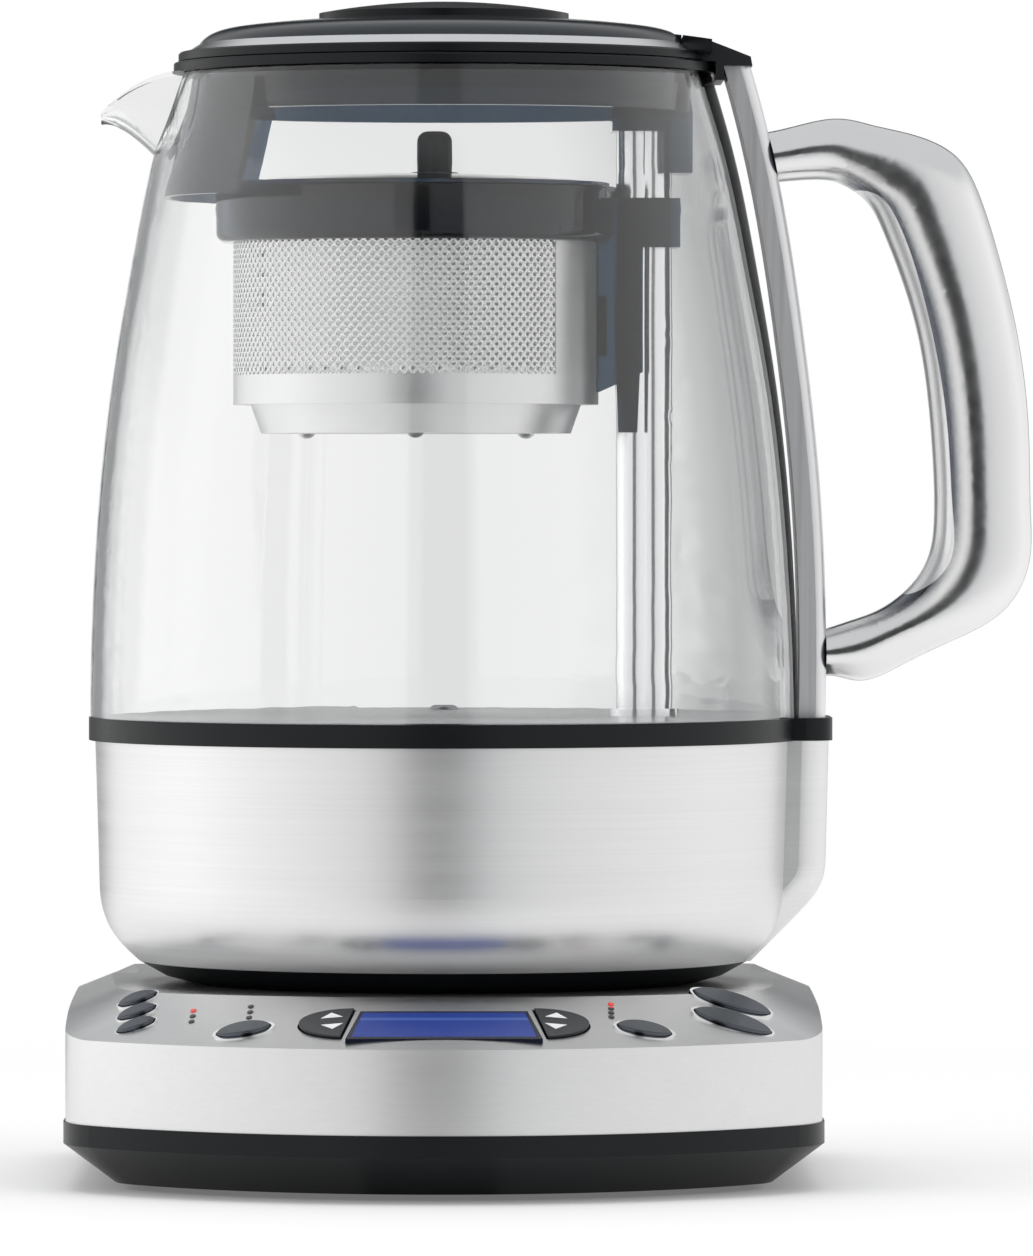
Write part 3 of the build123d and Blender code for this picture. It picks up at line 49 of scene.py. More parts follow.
# ---------------------------------------------------------------- node building
class Paper:
    """A node tree and short ways to add and join its nodes."""

    def __init__(self, tree):
        self.tree = tree

    def add(self, kind, **settings):
        node = self.tree.nodes.new("ShaderNode" + kind)
        for name, value in settings.items():
            setattr(node, name, value)
        return node

    def join(self, source, target):
        self.tree.links.new(source, target)

    def feed(self, socket, value):
        if isinstance(value, bpy.types.NodeSocket):
            self.join(value, socket)
        else:
            socket.default_value = value

    def math(self, operation, *values):
        node = self.add("Math", operation=operation)
        for socket, value in zip(node.inputs, values):
            self.feed(socket, value)
        return node.outputs[0]

    def mapped(self, vector, scale, location=(0, 0, 0)):
        node = self.add("Mapping")
        self.join(vector, node.inputs["Vector"])
        node.inputs["Scale"].default_value = scale
        node.inputs["Location"].default_value = location
        return node.outputs["Vector"]

    def noise(self, vector, scale=1.0, detail=2.0, roughness=0.5):
        node = self.add("TexNoise")
        self.join(vector, node.inputs["Vector"])
        self.feed(node.inputs["Scale"], scale)
        node.inputs["Detail"].default_value = detail
        node.inputs["Roughness"].default_value = roughness
        return node.outputs["Fac"]

    def spread(self, value, low, high, soft=True):
        """Value from 0..1 spread over low..high."""
        node = self.add("MapRange", clamp=True)
        self.join(value, node.inputs["Value"])
        self.feed(node.inputs["To Min"], low)
        self.feed(node.inputs["To Max"], high)
        node.inputs["From Min"].default_value = 0.25 if soft else 0.0
        node.inputs["From Max"].default_value = 0.75 if soft else 1.0
        return node.outputs["Result"]

    def bump(self, height, strength, distance):
        node = self.add("Bump")
        self.join(height, node.inputs["Height"])
        node.inputs["Strength"].default_value = strength
        node.inputs["Distance"].default_value = distance
        return node.outputs["Normal"]


def new_group(name, inputs, outputs):
    """An empty node group with the given sockets and its two end nodes."""
    group = bpy.data.node_groups.new(name, "ShaderNodeTree")
    for label, kind, value in inputs:
        socket = group.interface.new_socket(label, in_out="INPUT", socket_type=kind)
        if value is not None:
            socket.default_value = value
    for label, kind in outputs:
        group.interface.new_socket(label, in_out="OUTPUT", socket_type=kind)
    paper = Paper(group)
    entry = group.nodes.new("NodeGroupInput")
    leave = group.nodes.new("NodeGroupOutput")
    return group, paper, entry, leave


FLOAT, VECTOR, COLOUR = "NodeSocketFloat", "NodeSocketVector", "NodeSocketColor"


def make_brushing():
    """Fine lines left by a brushing belt: shade, roughness and height."""
    group, paper, entry, leave = new_group(
        "brushed_lines",
        [("Vector", VECTOR, None), ("Colour", COLOUR, (0.6, 0.6, 0.6, 1)),
         ("Contrast", FLOAT, 0.1), ("Rough low", FLOAT, 0.25), ("Rough high", FLOAT, 0.4)],
        [("Colour", COLOUR), ("Roughness", FLOAT), ("Height", FLOAT)],
    )
    vector = entry.outputs["Vector"]
    fine = paper.noise(vector, 1.0, 2.0, 0.6)
    broad = paper.noise(paper.mapped(vector, (0.4, 0.4, 0.12), (3.1, 1.7, 0.4)), 1.0, 1.0)
    both = paper.math("ADD", paper.math("MULTIPLY", fine, 0.7), paper.math("MULTIPLY", broad, 0.3))
    shift = paper.math("MULTIPLY", paper.math("SUBTRACT", both, 0.5), entry.outputs["Contrast"])
    factor = paper.math("ADD", shift, 1.0)
    tint = paper.add("VectorMath", operation="SCALE")
    paper.join(entry.outputs["Colour"], tint.inputs[0])
    paper.join(factor, tint.inputs["Scale"])
    paper.join(tint.outputs[0], leave.inputs["Colour"])
    rough = paper.spread(both, entry.outputs["Rough low"], entry.outputs["Rough high"])
    paper.join(rough, leave.inputs["Roughness"])
    paper.join(fine, leave.inputs["Height"])
    return group


def make_moulding():
    """Moulded plastic: faint mottling, a satin skin and its fine grain."""
    group, paper, entry, leave = new_group(
        "moulded_skin",
        [("Vector", VECTOR, None), ("Colour", COLOUR, (0.05, 0.05, 0.05, 1)),
         ("Mottle", FLOAT, 0.15), ("Rough low", FLOAT, 0.3), ("Rough high", FLOAT, 0.4),
         ("Grain", FLOAT, 1500.0)],
        [("Colour", COLOUR), ("Roughness", FLOAT), ("Height", FLOAT)],
    )
    vector = entry.outputs["Vector"]
    cloud = paper.noise(vector, 40.0, 3.0, 0.55)
    grain = paper.noise(vector, entry.outputs["Grain"], 1.0, 0.5)
    shift = paper.math("MULTIPLY", paper.math("SUBTRACT", cloud, 0.5), entry.outputs["Mottle"])
    factor = paper.math("ADD", shift, 1.0)
    tint = paper.add("VectorMath", operation="SCALE")
    paper.join(entry.outputs["Colour"], tint.inputs[0])
    paper.join(factor, tint.inputs["Scale"])
    paper.join(tint.outputs[0], leave.inputs["Colour"])
    mixed = paper.math("ADD", paper.math("MULTIPLY", cloud, 0.6), paper.math("MULTIPLY", grain, 0.4))
    rough = paper.spread(mixed, entry.outputs["Rough low"], entry.outputs["Rough high"])
    paper.join(rough, leave.inputs["Roughness"])
    paper.join(grain, leave.inputs["Height"])
    return group


BRUSHING = make_brushing()
MOULDING = make_moulding()


def new_material(name):
    """A material with a Principled shader; returns it, its paper, shader and coordinates."""
    material = bpy.data.materials.new(name)
    material.use_nodes = True
    paper = Paper(material.node_tree)
    shader = material.node_tree.nodes["Principled BSDF"]
    place = paper.add("TexCoord").outputs["Object"]
    return material, paper, shader, place


def use_group(paper, group, **values):
    node = paper.add("Group")
    node.node_tree = group
    for name, value in values.items():
        paper.feed(node.inputs[name.replace("_", " ")], value)
    return node


def dressed(paper, shader, node, strength, distance):
    """Join a group's colour, roughness and height to the shader."""
    paper.join(node.outputs["Colour"], shader.inputs["Base Color"])
    paper.join(node.outputs["Roughness"], shader.inputs["Roughness"])
    paper.join(paper.bump(node.outputs["Height"], strength, distance), shader.inputs["Normal"])


def paint_shade_towards_jug(paper, colour, shade):
    """The colour, but with painted shade (a darker base colour) on faces that look at the jug from its
    handle's side.
    """
    facing = paper.add("SeparateXYZ")
    paper.join(paper.add("TexCoord").outputs["Normal"], facing.inputs[0])
    outward = paper.add("MapRange", clamp=True, interpolation_type="SMOOTHSTEP")
    paper.join(facing.outputs["X"], outward.inputs["Value"])
    outward.inputs["From Min"].default_value = -0.5
    outward.inputs["From Max"].default_value = -0.2
    mix = paper.add("MixRGB")
    paper.join(outward.outputs["Result"], mix.inputs["Fac"])
    mix.inputs["Color1"].default_value = (*shade, 1)
    mix.inputs["Color2"].default_value = (*colour, 1)
    return mix.outputs["Color"]


def brushed_metal(name, colour, scale, rough, contrast=0.25, strength=0.25, painted_shade=None):
    """Metal brushed along the direction in which scale is small."""
    material, paper, shader, place = new_material(name)
    shader.inputs["Metallic"].default_value = 1.0
    node = use_group(paper, BRUSHING, Vector=paper.mapped(place, scale), Colour=(*colour, 1),
                     Contrast=contrast, Rough_low=rough[0], Rough_high=rough[1])
    # painted shade: faces that look towards -X get the darker colour in their base colour
    if painted_shade:
        paper.join(paint_shade_towards_jug(paper, colour, painted_shade), node.inputs["Colour"])
    dressed(paper, shader, node, strength, 0.00002)
    return material


def plastic(name, colour, rough, grain=1500.0, strength=0.15, mottle=0.15, shine=0.5):
    material, paper, shader, place = new_material(name)
    node = use_group(paper, MOULDING, Vector=place, Colour=(*colour, 1), Mottle=mottle,
                     Rough_low=rough[0], Rough_high=rough[1], Grain=grain)
    dressed(paper, shader, node, strength, 0.00002)
    shader.inputs["Specular IOR Level"].default_value = shine
    return material


def polished(name, colour, rough, strength=0.04, painted_shade=None):
    """Cast metal with a hand polish: smooth, with a very faint ripple.

    The optional last colour is painted shade on the side that faces -X: a darker base colour that stands in
    for the jug's dark reflection.
    """
    material, paper, shader, place = new_material(name)
    shader.inputs["Metallic"].default_value = 1.0
    node = use_group(paper, MOULDING, Vector=place, Colour=(*colour, 1), Mottle=0.06,
                     Rough_low=rough[0], Rough_high=rough[1], Grain=300.0)
    # painted reflection: the side facing -X gets a darker base colour in place of the jug's dark reflection
    if painted_shade:
        paper.join(paint_shade_towards_jug(paper, colour, painted_shade), node.inputs["Colour"])
    dressed(paper, shader, node, strength, 0.0001)
    return material


def glassy(name, colour, ior, rough, shadow_tint):
    """Clear solid that lets the lamps' light through to what it holds."""
    material, paper, shader, place = new_material(name)
    shader.inputs["Transmission Weight"].default_value = 1.0
    shader.inputs["IOR"].default_value = ior
    cloud = paper.noise(place, 12.0, 2.0)
    tint = paper.add("MixRGB")
    paper.join(cloud, tint.inputs["Fac"])
    tint.inputs["Color1"].default_value = (*colour, 1)
    tint.inputs["Color2"].default_value = (*(min(1.0, c * 1.02) for c in colour), 1)
    paper.join(tint.outputs["Color"], shader.inputs["Base Color"])
    paper.join(paper.spread(cloud, rough[0], rough[1]), shader.inputs["Roughness"])
    clear = paper.add("BsdfTransparent")
    clear.inputs["Color"].default_value = (*shadow_tint, 1)
    path = paper.add("LightPath")
    mix = paper.add("MixShader")
    paper.join(path.outputs["Is Shadow Ray"], mix.inputs[0])
    paper.join(shader.outputs[0], mix.inputs[1])
    paper.join(clear.outputs[0], mix.inputs[2])
    out = next(n for n in paper.tree.nodes if n.type == "OUTPUT_MATERIAL")
    paper.join(mix.outputs[0], out.inputs["Surface"])
    return material


def lit_display():
    """Blue window with a darker border and a painted highlight: a pale streak along its upper part."""
    material, paper, shader, place = new_material("display_blue")
    low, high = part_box("display_window")
    split = paper.add("SeparateXYZ")
    paper.join(place, split.inputs[0])
    depth = high.y - low.y
    up = paper.math("DIVIDE", paper.math("SUBTRACT", split.outputs["Y"], low.y), depth)
    # painted highlight: a pale band across the window's upper part, in its colour and in its glow
    painted_highlight_streak = paper.math("SUBTRACT", 1.0, paper.math(
        "MULTIPLY", paper.math("ABSOLUTE", paper.math("SUBTRACT", up, 0.7)), 14.0))
    # the window's ends lean inwards, so the border leans with them
    side = paper.math("ADD", paper.math("ABSOLUTE", split.outputs["X"]),
                      paper.math("MULTIPLY", up, depth * 0.21))
    end = paper.math("GREATER_THAN", side, high.x - 1.2 * MM)
    edge = paper.math("GREATER_THAN", paper.math("ABSOLUTE", paper.math("SUBTRACT", up, 0.5)), 0.42)
    border = paper.math("MAXIMUM", end, edge)
    cloud = paper.noise(place, 60.0, 2.0)
    tone = paper.add("MixRGB")
    paper.join(paper.math("MAXIMUM", paper.math("MULTIPLY", painted_highlight_streak, 0.8),
                          paper.math("MULTIPLY", cloud, 0.15)), tone.inputs["Fac"])
    tone.inputs["Color1"].default_value = (0.004, 0.024, 0.2, 1)
    tone.inputs["Color2"].default_value = (0.07, 0.13, 0.36, 1)
    framed = paper.add("MixRGB")
    paper.join(border, framed.inputs["Fac"])
    paper.join(tone.outputs["Color"], framed.inputs["Color1"])
    framed.inputs["Color2"].default_value = (0.006, 0.008, 0.02, 1)
    paper.join(framed.outputs["Color"], shader.inputs["Base Color"])
    paper.join(framed.outputs["Color"], shader.inputs["Emission Color"])
    shader.inputs["Emission Strength"].default_value = 0.12
    shader.inputs["Specular IOR Level"].default_value = 0.3
    paper.join(paper.spread(cloud, 0.08, 0.14), shader.inputs["Roughness"])
    return material


def lamp_lens():
    """Small lamps: dark lenses, and red ones round the places that are lit."""
    material, paper, shader, place = new_material("lamp_lens")
    lit = 0.0
    for centre, reach in (((-57.3, -65.6, 42.2), 1.3), ((38.0, -71.8, 43.7), 1.6)):
        away = paper.add("VectorMath", operation="DISTANCE")
        paper.join(place, away.inputs[0])
        away.inputs[1].default_value = [c * MM for c in centre]
        near = paper.math("LESS_THAN", away.outputs["Value"], reach * MM)
        lit = paper.math("MAXIMUM", near, lit)
    tone = paper.add("MixRGB")
    paper.join(lit, tone.inputs["Fac"])
    tone.inputs["Color1"].default_value = (0.02, 0.02, 0.022, 1)
    tone.inputs["Color2"].default_value = (0.5, 0.03, 0.025, 1)
    paper.join(tone.outputs["Color"], shader.inputs["Base Color"])
    glow = paper.add("MixRGB")
    paper.join(lit, glow.inputs["Fac"])
    glow.inputs["Color1"].default_value = (0, 0, 0, 1)
    glow.inputs["Color2"].default_value = (0.5, 0.03, 0.025, 1)
    paper.join(glow.outputs["Color"], shader.inputs["Emission Color"])
    shader.inputs["Emission Strength"].default_value = 0.5
    paper.join(paper.spread(paper.noise(place, 900.0), 0.12, 0.2), shader.inputs["Roughness"])
    return material


# ---------------------------------------------------------------- finishes
AROUND = (12.0, 12.0, 2000.0)       # brush lines that run round the axis
ALONG_X = (9.0, 900.0, 1600.0)      # brush lines that run left to right
ALONG_Z = (1600.0, 1600.0, 12.0)    # brush lines that run up and down

finishes = {
    "shell_steel": brushed_metal("brushed_shell_steel", (0.76, 0.76, 0.76), AROUND, (0.32, 0.4), 0.16, 0.1),
    "deck_steel": brushed_metal("brushed_deck_steel", (0.72, 0.72, 0.72), ALONG_X, (0.3, 0.38), 0.12, 0.06),
    # painted shade: the strap's faces towards the glass get a near-black base colour
    "strap_steel": brushed_metal("brushed_strap_steel", (0.78, 0.78, 0.79), ALONG_Z, (0.3, 0.4), 0.16,
                                 0.1, (0.02, 0.022, 0.025)),
    "trim_steel": brushed_metal("brushed_trim_steel", (0.76, 0.77, 0.78), AROUND, (0.16, 0.26), 0.12, 0.1),
    "plate_steel": brushed_metal("heating_plate_steel", (0.42, 0.43, 0.44), AROUND, (0.18, 0.28), 0.2),
    "rail_steel": brushed_metal("rail_steel", (0.84, 0.84, 0.85), ALONG_Z, (0.12, 0.2), 0.12, 0.1),
    "mesh_steel": brushed_metal("filter_steel", (0.82, 0.82, 0.82), AROUND, (0.32, 0.42), 0.08, 0.02),
    # painted reflection: the handle's side towards the jug gets a darker base colour in place of the jug's
    # dark reflection
    "cast_metal": polished("polished_cast_metal", (0.8, 0.8, 0.8), (0.14, 0.22), 0.04, (0.13, 0.14, 0.16)),
    "grip_metal": polished("grip_strip_metal", (0.8, 0.8, 0.8), (0.2, 0.3)),
    "key_chrome": polished("key_satin_chrome", (0.1, 0.11, 0.125), (0.12, 0.2)),
    "ring_chrome": polished("bezel_chrome", (0.95, 0.95, 0.95), (0.08, 0.14)),
    "brass": polished("contact_brass", (0.6, 0.42, 0.16), (0.25, 0.35)),
    "screw": polished("screw_metal", (0.45, 0.45, 0.46), (0.25, 0.35)),
    "black": plastic("black_moulding", (0.004, 0.005, 0.006), (0.28, 0.4), shine=0.22),
    "dark": plastic("dark_grey_moulding", (0.012, 0.015, 0.018), (0.12, 0.2), shine=0.4),
    "grey": plastic("mid_grey_moulding", (0.15, 0.15, 0.155), (0.3, 0.45)),
    "rubber": plastic("black_rubber", (0.015, 0.015, 0.015), (0.55, 0.7), 2200.0, 0.3),
    "smoke": glassy("smoke_grey_plastic", (0.018, 0.042, 0.075), 1.4, (0.03, 0.07), (0.2, 0.21, 0.22)),
    "glass": glassy("clear_jug_glass", (0.985, 0.99, 0.99), 1.5, (0.0, 0.012), (0.97, 0.975, 0.975)),
    "display": lit_display(),
    "led": lamp_lens(),
    "print_white": plastic("printed_white", (0.75, 0.76, 0.77), (0.35, 0.45), 900.0, 0.02, 0.05),
    "board": plastic("circuit_board", (0.01, 0.12, 0.05), (0.35, 0.5)),
    "motor": polished("motor_case", (0.5, 0.5, 0.5), (0.25, 0.35)),
    "magnet": polished("magnet_nickel", (0.5, 0.48, 0.45), (0.2, 0.3)),
}

KEY_NAMES = ("auto_start_key", "keep_warm_key", "basket_key", "tea_type_key", "strength_key",
             "hot_water_key", "start_key")
ROCKER_NAMES = ("temperature_rocker", "time_rocker")

worn_by = {
    "shell_steel": ("jug_shell",),
    "deck_steel": ("base_cover",),
    "strap_steel": ("handle_strap",),
    "trim_steel": ("lid_trim_ring",),
    "plate_steel": ("heating_plate", "temperature_probe", "heating_element"),
    "rail_steel": ("lift_rail", "lead_screw"),
    "mesh_steel": ("basket_mesh", "basket_floor"),
    "cast_metal": ("handle",),
    "grip_metal": ("handle_grip",),
    "key_chrome": KEY_NAMES,
    "ring_chrome": ("button_bezels",),
    "brass": ("contact_rings", "jug_contacts"),
    "screw": ("tray_screws", "handle_screws"),
    "black": ("base_tray", "jug_foot", "shell_band", "rim_collar", "lid_frame", "lid_knob",
              "basket_lid_knob", "handle_cap", "lid_plug", "rocker_posts", "deck_socket", "jug_plug",
              "cord_gland", "magnet_carriage", "relay", "tact_switches"),
    "dark": ("lid_dome", *ROCKER_NAMES),
    "grey": ("display_module",),
    "rubber": ("foot_ring", "lid_seal"),
    "smoke": ("inner_sleeve", "basket_ring", "basket_lid", "spout_filter"),
    "glass": ("jug_glass",),
    "display": ("display_window",),
    "led": ("indicator_leds",),
    "board": ("power_board", "control_boards"),
    "motor": ("lift_motor",),
    "magnet": ("basket_magnet",),
}

for finish, wearers in worn_by.items():
    for wearer in wearers:
        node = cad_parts[wearer]
        node.data.materials.clear()
        node.data.materials.append(finishes[finish])

undressed = set(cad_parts) - {name for names in worn_by.values() for name in names}
assert not undressed, undressed


# ---------------------------------------------------------------- new pieces
def fresh():
    """Nothing selected and object mode, ready for a new primitive."""
    if bpy.context.object and bpy.context.object.mode != "OBJECT":
        bpy.ops.object.mode_set(mode="OBJECT")
    bpy.ops.object.select_all(action="DESELECT")


def edit(select="SELECT"):
    bpy.ops.object.mode_set(mode="EDIT")
    bpy.ops.mesh.select_all(action=select)


def finished(piece, name, finish, body, angle=None):
    """Name a piece, bake its place into its mesh, dress it and put it on its body."""
    fresh()
    piece.select_set(True)
    bpy.context.view_layer.objects.active = piece
    bpy.ops.object.transform_apply(location=True, rotation=True, scale=True)
    if angle:
        bpy.ops.object.shade_smooth_by_angle(angle=math.radians(angle))
    piece.name = piece.data.name = name
    piece.data.materials.clear()
    piece.data.materials.append(finishes[finish])
    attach(piece, body)
    return piece


def modified(piece, kind, **settings):
    """Add a modifier with its settings and apply it."""
    modifier = piece.modifiers.new(kind.lower(), kind)
    for name, value in settings.items():
        setattr(modifier, name, value)
    bpy.ops.object.modifier_apply(modifier=modifier.name)


def make_perforated_wall():
    """The basket's wall: a sheet of staggered holes rolled round, closed by a plain strip."""
    low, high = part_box("basket_mesh")
    centre = ((low.x + high.x) / 2, (low.y + high.y) / 2)
    outer = (high.x - low.x) / 2
    wall = 0.5 * MM
    middle = outer - 0.3 * MM
    row_pitch = 1.15 * MM
    plain_half_angle = math.radians(39)
    holed_angle = 2 * math.pi - 2 * plain_half_angle
    columns = 101
    pitch = holed_angle * middle / columns
    rows = 2 * int((high.z - low.z) / row_pitch / 2)
    # one six-sided cell, standing upright, with its hole
    fresh()
    bpy.ops.mesh.primitive_circle_add(vertices=6, radius=1.0, fill_type="NGON",
                                      rotation=(math.pi / 2, 0, 0))
    sheet = bpy.context.object
    bpy.ops.object.transform_apply(rotation=True)
    edit()
    bpy.ops.transform.resize(value=(pitch / 2 / math.cos(math.pi / 6), 1, row_pitch * 2 / 3))
    bpy.ops.mesh.extrude_region()
    bpy.ops.transform.resize(value=(0.46, 1, 0.7))
    bpy.ops.mesh.delete(type="FACE")
    bpy.ops.object.mode_set(mode="OBJECT")
    for count, step in ((columns, (pitch, 0, 0)), (2, (pitch / 2, 0, row_pitch)),
                        (rows // 2, (0, 0, 2 * row_pitch))):
        modified(sheet, "ARRAY", count=count, use_relative_offset=False, use_constant_offset=True,
                 constant_offset_displace=step, use_merge_vertices=True, merge_threshold=0.00001)
    modified(sheet, "SIMPLE_DEFORM", deform_method="BEND", deform_axis="Z",
             angle=holed_angle * (columns + 0.5) / columns)
    modified(sheet, "SOLIDIFY", thickness=wall, offset=0.0)
    edit()
    bpy.ops.transform.translate(value=(centre[0], centre[1] - middle, low.z))
    bpy.ops.mesh.normals_make_consistent(inside=False)
    bpy.ops.object.mode_set(mode="OBJECT")
    around = Matrix.Translation((*centre, 0))
    turn = Matrix.Rotation(math.pi / 2 + plain_half_angle, 4, "Z")
    sheet.matrix_world = around @ turn @ around.inverted()
    # plain strip behind the spine, a little thicker than the sheet whose ends it covers
    fresh()
    bpy.ops.mesh.primitive_cylinder_add(vertices=180, radius=outer - 0.35 * MM, depth=high.z - low.z,
                                        end_fill_type="NOTHING",
                                        location=(*centre, (low.z + high.z) / 2))
    strip = bpy.context.object
    bpy.ops.object.transform_apply(location=True)
    edit()
    for sign in (1, -1):
        reach = plain_half_angle + 0.03
        across = (math.sin(reach), -sign * math.cos(reach), 0)
        bpy.ops.mesh.select_all(action="SELECT")
        bpy.ops.mesh.bisect(plane_co=(*centre, 0), plane_no=across, clear_inner=True)
    bpy.ops.object.mode_set(mode="OBJECT")
    modified(strip, "SOLIDIFY", thickness=0.6 * MM, offset=0.0)
    fresh()
    strip.select_set(True)
    sheet.select_set(True)
    bpy.context.view_layer.objects.active = sheet
    bpy.ops.object.transform_apply(location=True, rotation=True, scale=True)
    bpy.ops.object.join()
    finished(sheet, "basket_perforated_wall", "mesh_steel", "basket", 40)
    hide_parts("basket_mesh")


def make_arrow(name, rocker, shift, turn):
    """A small raised triangle on a rocker's cap; shift and turn lie in the cap's plane."""
    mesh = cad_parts[rocker].data
    up = [face for face in mesh.polygons if face.normal.z > 0.8]
    lean = sum((face.normal * face.area for face in up), Vector()).normalized()
    top = max(up, key=lambda face: face.center.dot(lean))
    box_low, box_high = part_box(rocker)
    middle = (box_low + box_high) / 2
    normal = top.normal.copy()
    # the cap's plane over the rocker's middle
    height = top.center.z - ((middle.x - top.center.x) * normal.x
                             + (middle.y - top.center.y) * normal.y) / normal.z
    across = Vector((1, 0, -normal.x / normal.z)).normalized()
    away = normal.cross(across)
    place = Vector((middle.x, middle.y, height)) + across * shift[0] + away * shift[1]
    fresh()
    bpy.ops.mesh.primitive_circle_add(vertices=3, radius=1.0, fill_type="NGON")
    arrow = bpy.context.object
    edit()
    bpy.ops.transform.resize(value=(2.9 * MM, 1.75 * MM, 1), center_override=(0, 0, 0))
    bpy.ops.mesh.extrude_region_move(TRANSFORM_OT_translate={"value": (0, 0, 0.12 * MM)})
    bpy.ops.mesh.select_all(action="SELECT")
    bpy.ops.mesh.normals_make_consistent(inside=False)
    bpy.ops.mesh.bevel(offset=0.04 * MM, segments=1)
    bpy.ops.object.mode_set(mode="OBJECT")
    basis = Matrix((across, away, normal)).transposed().to_4x4()
    arrow.matrix_world = Matrix.Translation(place) @ basis @ Matrix.Rotation(turn, 4, "Z")
    finished(arrow, name, "print_white", rocker + "_body", 30)


make_perforated_wall()
for rocker, side in (("temperature_rocker", -1), ("time_rocker", 1)):
    make_arrow(rocker + "_up_arrow", rocker, (side * -1.2 * MM, 2.6 * MM), 0.0)
    make_arrow(rocker + "_down_arrow", rocker, (side * -1.2 * MM, -2.6 * MM), math.pi)


# ---------------------------------------------------------------- floor, lamps, sky
def make_ramp(paper, share, stops):
    """Levels by bearing in degrees from the control deck's side; dark ones a little bluish."""
    ramp = paper.add("ValToRGB")
    paper.join(share, ramp.inputs["Fac"])
    ends = ramp.color_ramp.elements
    while len(ends) < len(stops):
        ends.new(0.5)
    for stop, (degrees, level) in zip(ends, stops):
        stop.position = degrees / 360 + 0.5
        cool = (0.95, 0.98, 1.0) if level < 0.8 else (1.0, 1.0, 1.0)
        stop.color = (*(level * c for c in cool), 1)
    return ramp.outputs["Color"]


def make_studio():
    """What shines on metal and glass: walls round the set by their bearing and height."""
    group, paper, entry, leave = new_group(
        "studio_walls", [("Vector", VECTOR, None), ("Through glass", FLOAT, 0.0)],
        [("Colour", COLOUR)])
    unit = paper.add("VectorMath", operation="NORMALIZE")
    paper.join(entry.outputs["Vector"], unit.inputs[0])
    split = paper.add("SeparateXYZ")
    paper.join(unit.outputs[0], split.inputs[0])
    front = paper.math("MULTIPLY", split.outputs["Y"], -1.0)
    bearing = paper.math("ARCTAN2", split.outputs["X"], front)
    share = paper.math("ADD", paper.math("DIVIDE", bearing, 2 * math.pi), 0.5)
    front_walls = ((-92, 1.35), (-60, 1.1), (-30, 0.92), (-13, 0.85), (-11, 0.03), (7, 0.03),
                   (9, 0.75), (30, 0.85), (60, 0.95), (95, 1.08))
    mirrored = make_ramp(paper, share, (
        (-180, 0.87), (-172, 0.9), (-166, 0.2), (-150, 0.2), (-142, 1.1), *front_walls,
        (150, 1.0), (160, 0.3), (174, 0.3), (177, 0.87), (180, 0.87)))
    behind_glass = make_ramp(paper, share, (
        (-180, 0.87), (-170, 0.9), (-164, 0.45), (-152, 0.4), (-142, 1.0), *front_walls,
        (130, 0.9), (138, 0.12), (168, 0.15), (175, 0.25), (178, 0.86), (180, 0.87)))
    through = entry.outputs["Through glass"]
    side = paper.add("MixRGB")
    paper.join(through, side.inputs["Fac"])
    paper.join(mirrored, side.inputs["Color1"])
    paper.join(behind_glass, side.inputs["Color2"])
    # above the low back wall only a dark strip hangs between two pale ones
    back = make_ramp(paper, share, (
        (-180, 0.02), (-172, 0.04), (-158, 0.55), (-120, 0.9), *front_walls,
        (120, 0.9), (158, 0.5), (172, 0.04), (180, 0.02)))
    colour = side.outputs["Color"]
    for upper, low, high in ((back, 0.1, 0.18), ((0.72, 0.73, 0.74, 1), 0.36, 0.56)):
        rise = paper.add("MapRange", clamp=True, interpolation_type="SMOOTHSTEP")
        paper.join(split.outputs["Z"], rise.inputs["Value"])
        rise.inputs["From Min"].default_value = low
        rise.inputs["From Max"].default_value = high
        blend = paper.add("MixRGB")
        paper.join(rise.outputs["Result"], blend.inputs["Fac"])
        paper.join(colour, blend.inputs["Color1"])
        paper.feed(blend.inputs["Color2"], upper)
        colour = blend.outputs["Color"]
    paper.join(colour, leave.inputs["Colour"])
    return group


STUDIO = make_studio()


def make_floor():
    """Pale table top that fades to white away from the object."""
    bpy.ops.object.select_all(action="DESELECT")
    bpy.ops.mesh.primitive_circle_add(vertices=96, radius=6.0, fill_type="NGON")
    floor = bpy.context.object
    floor.name = "studio_floor"
    material, paper, shader, place = new_material("pale_table")
    shader.inputs["Base Color"].default_value = (0.8, 0.8, 0.8, 1)
    shader.inputs["Roughness"].default_value = 0.6
    shader.inputs["Specular IOR Level"].default_value = 0.15
    distance = paper.add("VectorMath", operation="LENGTH")
    paper.join(place, distance.inputs[0])
    fade = paper.add("MapRange", clamp=True)
    paper.join(distance.outputs["Value"], fade.inputs["Value"])
    fade.inputs["From Min"].default_value = 0.1
    fade.inputs["From Max"].default_value = 0.6
    fade.inputs["To Min"].default_value = 0.15
    fade.inputs["To Max"].default_value = 1.0
    path = paper.add("LightPath")
    shone = paper.math("MAXIMUM", path.outputs["Is Glossy Ray"], path.outputs["Is Transmission Ray"])
    seen = paper.math("MAXIMUM", path.outputs["Is Camera Ray"], shone)
    walls = use_group(paper, STUDIO, Vector=paper.mapped(place, (1, 1, 1), (0, 0, -1)),
                      Through_glass=path.outputs["Is Transmission Ray"])
    tone = paper.add("MixRGB")
    paper.join(shone, tone.inputs["Fac"])
    tone.inputs["Color1"].default_value = (1, 1, 1, 1)
    paper.join(walls.outputs["Colour"], tone.inputs["Color2"])
    glow = paper.add("Emission")
    paper.join(tone.outputs["Color"], glow.inputs["Color"])
    mix = paper.add("MixShader")
    paper.join(paper.math("MULTIPLY", fade.outputs["Result"], seen), mix.inputs[0])
    paper.join(shader.outputs[0], mix.inputs[1])
    paper.join(glow.outputs[0], mix.inputs[2])
    out = next(n for n in paper.tree.nodes if n.type == "OUTPUT_MATERIAL")
    paper.join(mix.outputs[0], out.inputs["Surface"])
    floor.data.materials.append(material)


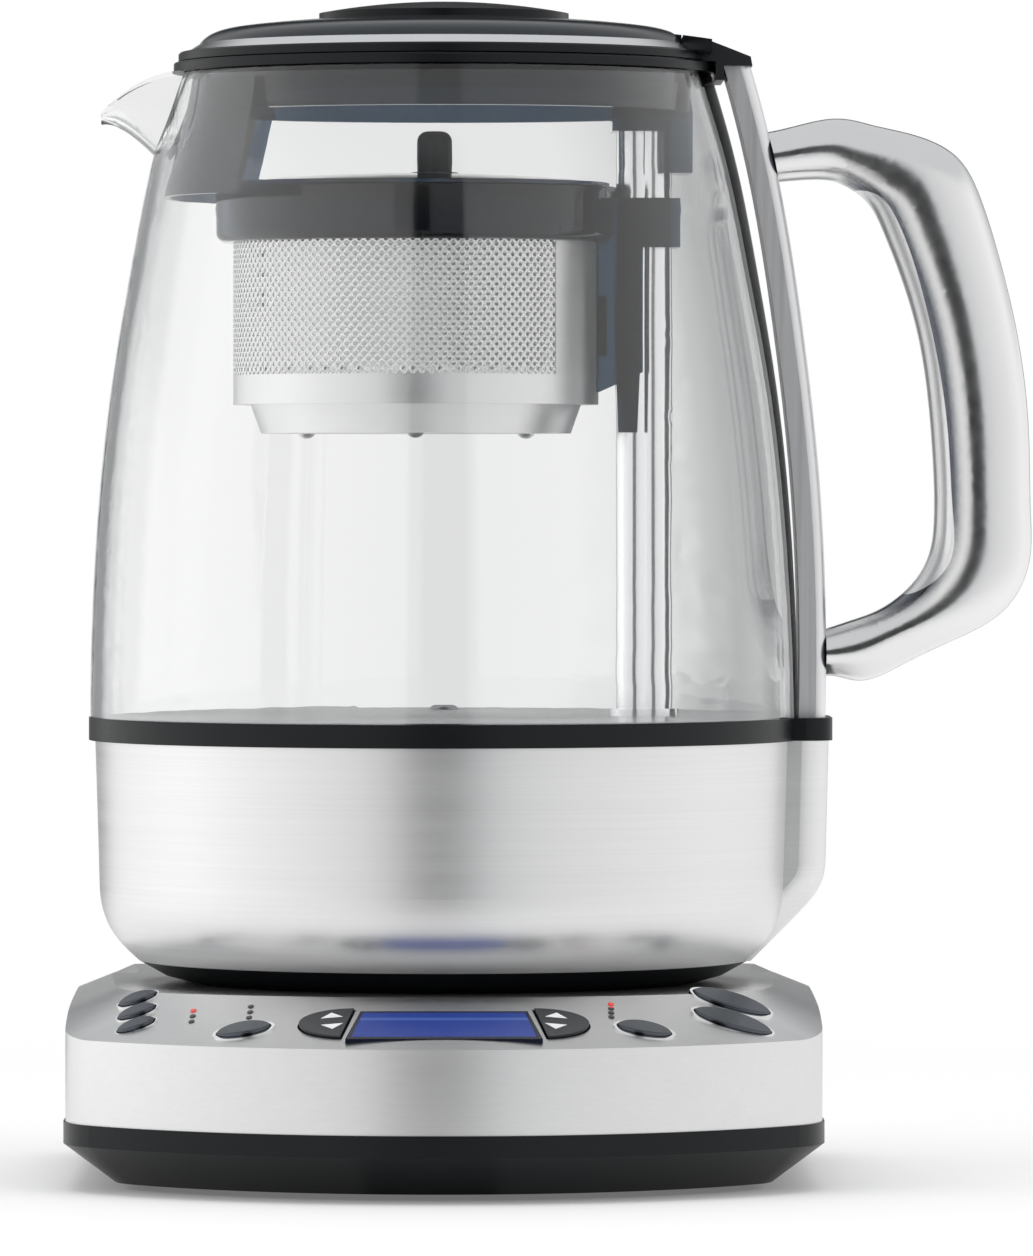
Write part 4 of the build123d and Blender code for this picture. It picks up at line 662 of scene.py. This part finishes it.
def area_lamp(name, place, aim, size, power):
    data = bpy.data.lights.new(name, "AREA")
    data.shape = "RECTANGLE"
    data.size, data.size_y = size
    data.energy = power
    lamp = bpy.data.objects.new(name, data)
    bpy.context.scene.collection.objects.link(lamp)
    lamp.location = place
    lamp.rotation_euler = (Vector(aim) - Vector(place)).to_track_quat("-Z", "Y").to_euler()
    lamp.visible_glossy = False
    lamp.visible_transmission = False
    return lamp


def make_sky():
    """White studio seen by the camera; metal and glass mirror its walls."""
    world = bpy.data.worlds.new("studio_sky")
    bpy.context.scene.world = world
    world.use_nodes = True
    paper = Paper(world.node_tree)
    base = world.node_tree.nodes["Background"]
    base.inputs["Color"].default_value = (1, 1, 1, 1)
    path = paper.add("LightPath")
    walls = use_group(paper, STUDIO, Vector=paper.add("TexCoord").outputs["Generated"],
                      Through_glass=path.outputs["Is Transmission Ray"])
    shine = paper.add("Background")
    paper.join(walls.outputs["Colour"], shine.inputs["Color"])
    shine.inputs["Strength"].default_value = 1.0
    dim = paper.add("Background")
    dim.inputs["Color"].default_value = (1, 1, 1, 1)
    dim.inputs["Strength"].default_value = 0.75
    gloss = paper.add("MixShader")
    see = paper.math("MAXIMUM", path.outputs["Is Glossy Ray"], path.outputs["Is Transmission Ray"])
    paper.join(see, gloss.inputs[0])
    paper.join(dim.outputs[0], gloss.inputs[1])
    paper.join(shine.outputs[0], gloss.inputs[2])
    last = paper.add("MixShader")
    paper.join(path.outputs["Is Camera Ray"], last.inputs[0])
    paper.join(gloss.outputs[0], last.inputs[1])
    paper.join(base.outputs[0], last.inputs[2])
    out = next(n for n in paper.tree.nodes if n.type == "OUTPUT_WORLD")
    paper.join(last.outputs[0], out.inputs["Surface"])


def make_camera():
    """Long lens a little above the shell, aimed a little down and to the right."""
    data = bpy.data.cameras.new("product_camera")
    data.lens = 275.16
    data.sensor_width = 36.0
    data.clip_end = 50.0
    camera = bpy.data.objects.new("product_camera", data)
    bpy.context.scene.collection.objects.link(camera)
    camera.location = (0.0, -2.256, 0.162)
    aim = Vector((0.01704, 0.0, 0.1284))
    camera.rotation_euler = (aim - camera.location).to_track_quat("-Z", "Y").to_euler()
    bpy.context.scene.camera = camera


make_floor()
make_sky()
area_lamp("left_softbox", (-0.9, -0.5, 0.7), (0, 0, 0.12), (0.7, 1.1), 4.0)
area_lamp("right_softbox", (0.9, -0.5, 0.7), (0, 0, 0.12), (0.7, 1.1), 4.0)
area_lamp("top_softbox", (0.0, 0.1, 1.3), (0, 0, 0.1), (1.2, 1.0), 9.0)
make_camera()
bpy.context.scene.view_settings.view_transform = "Standard"
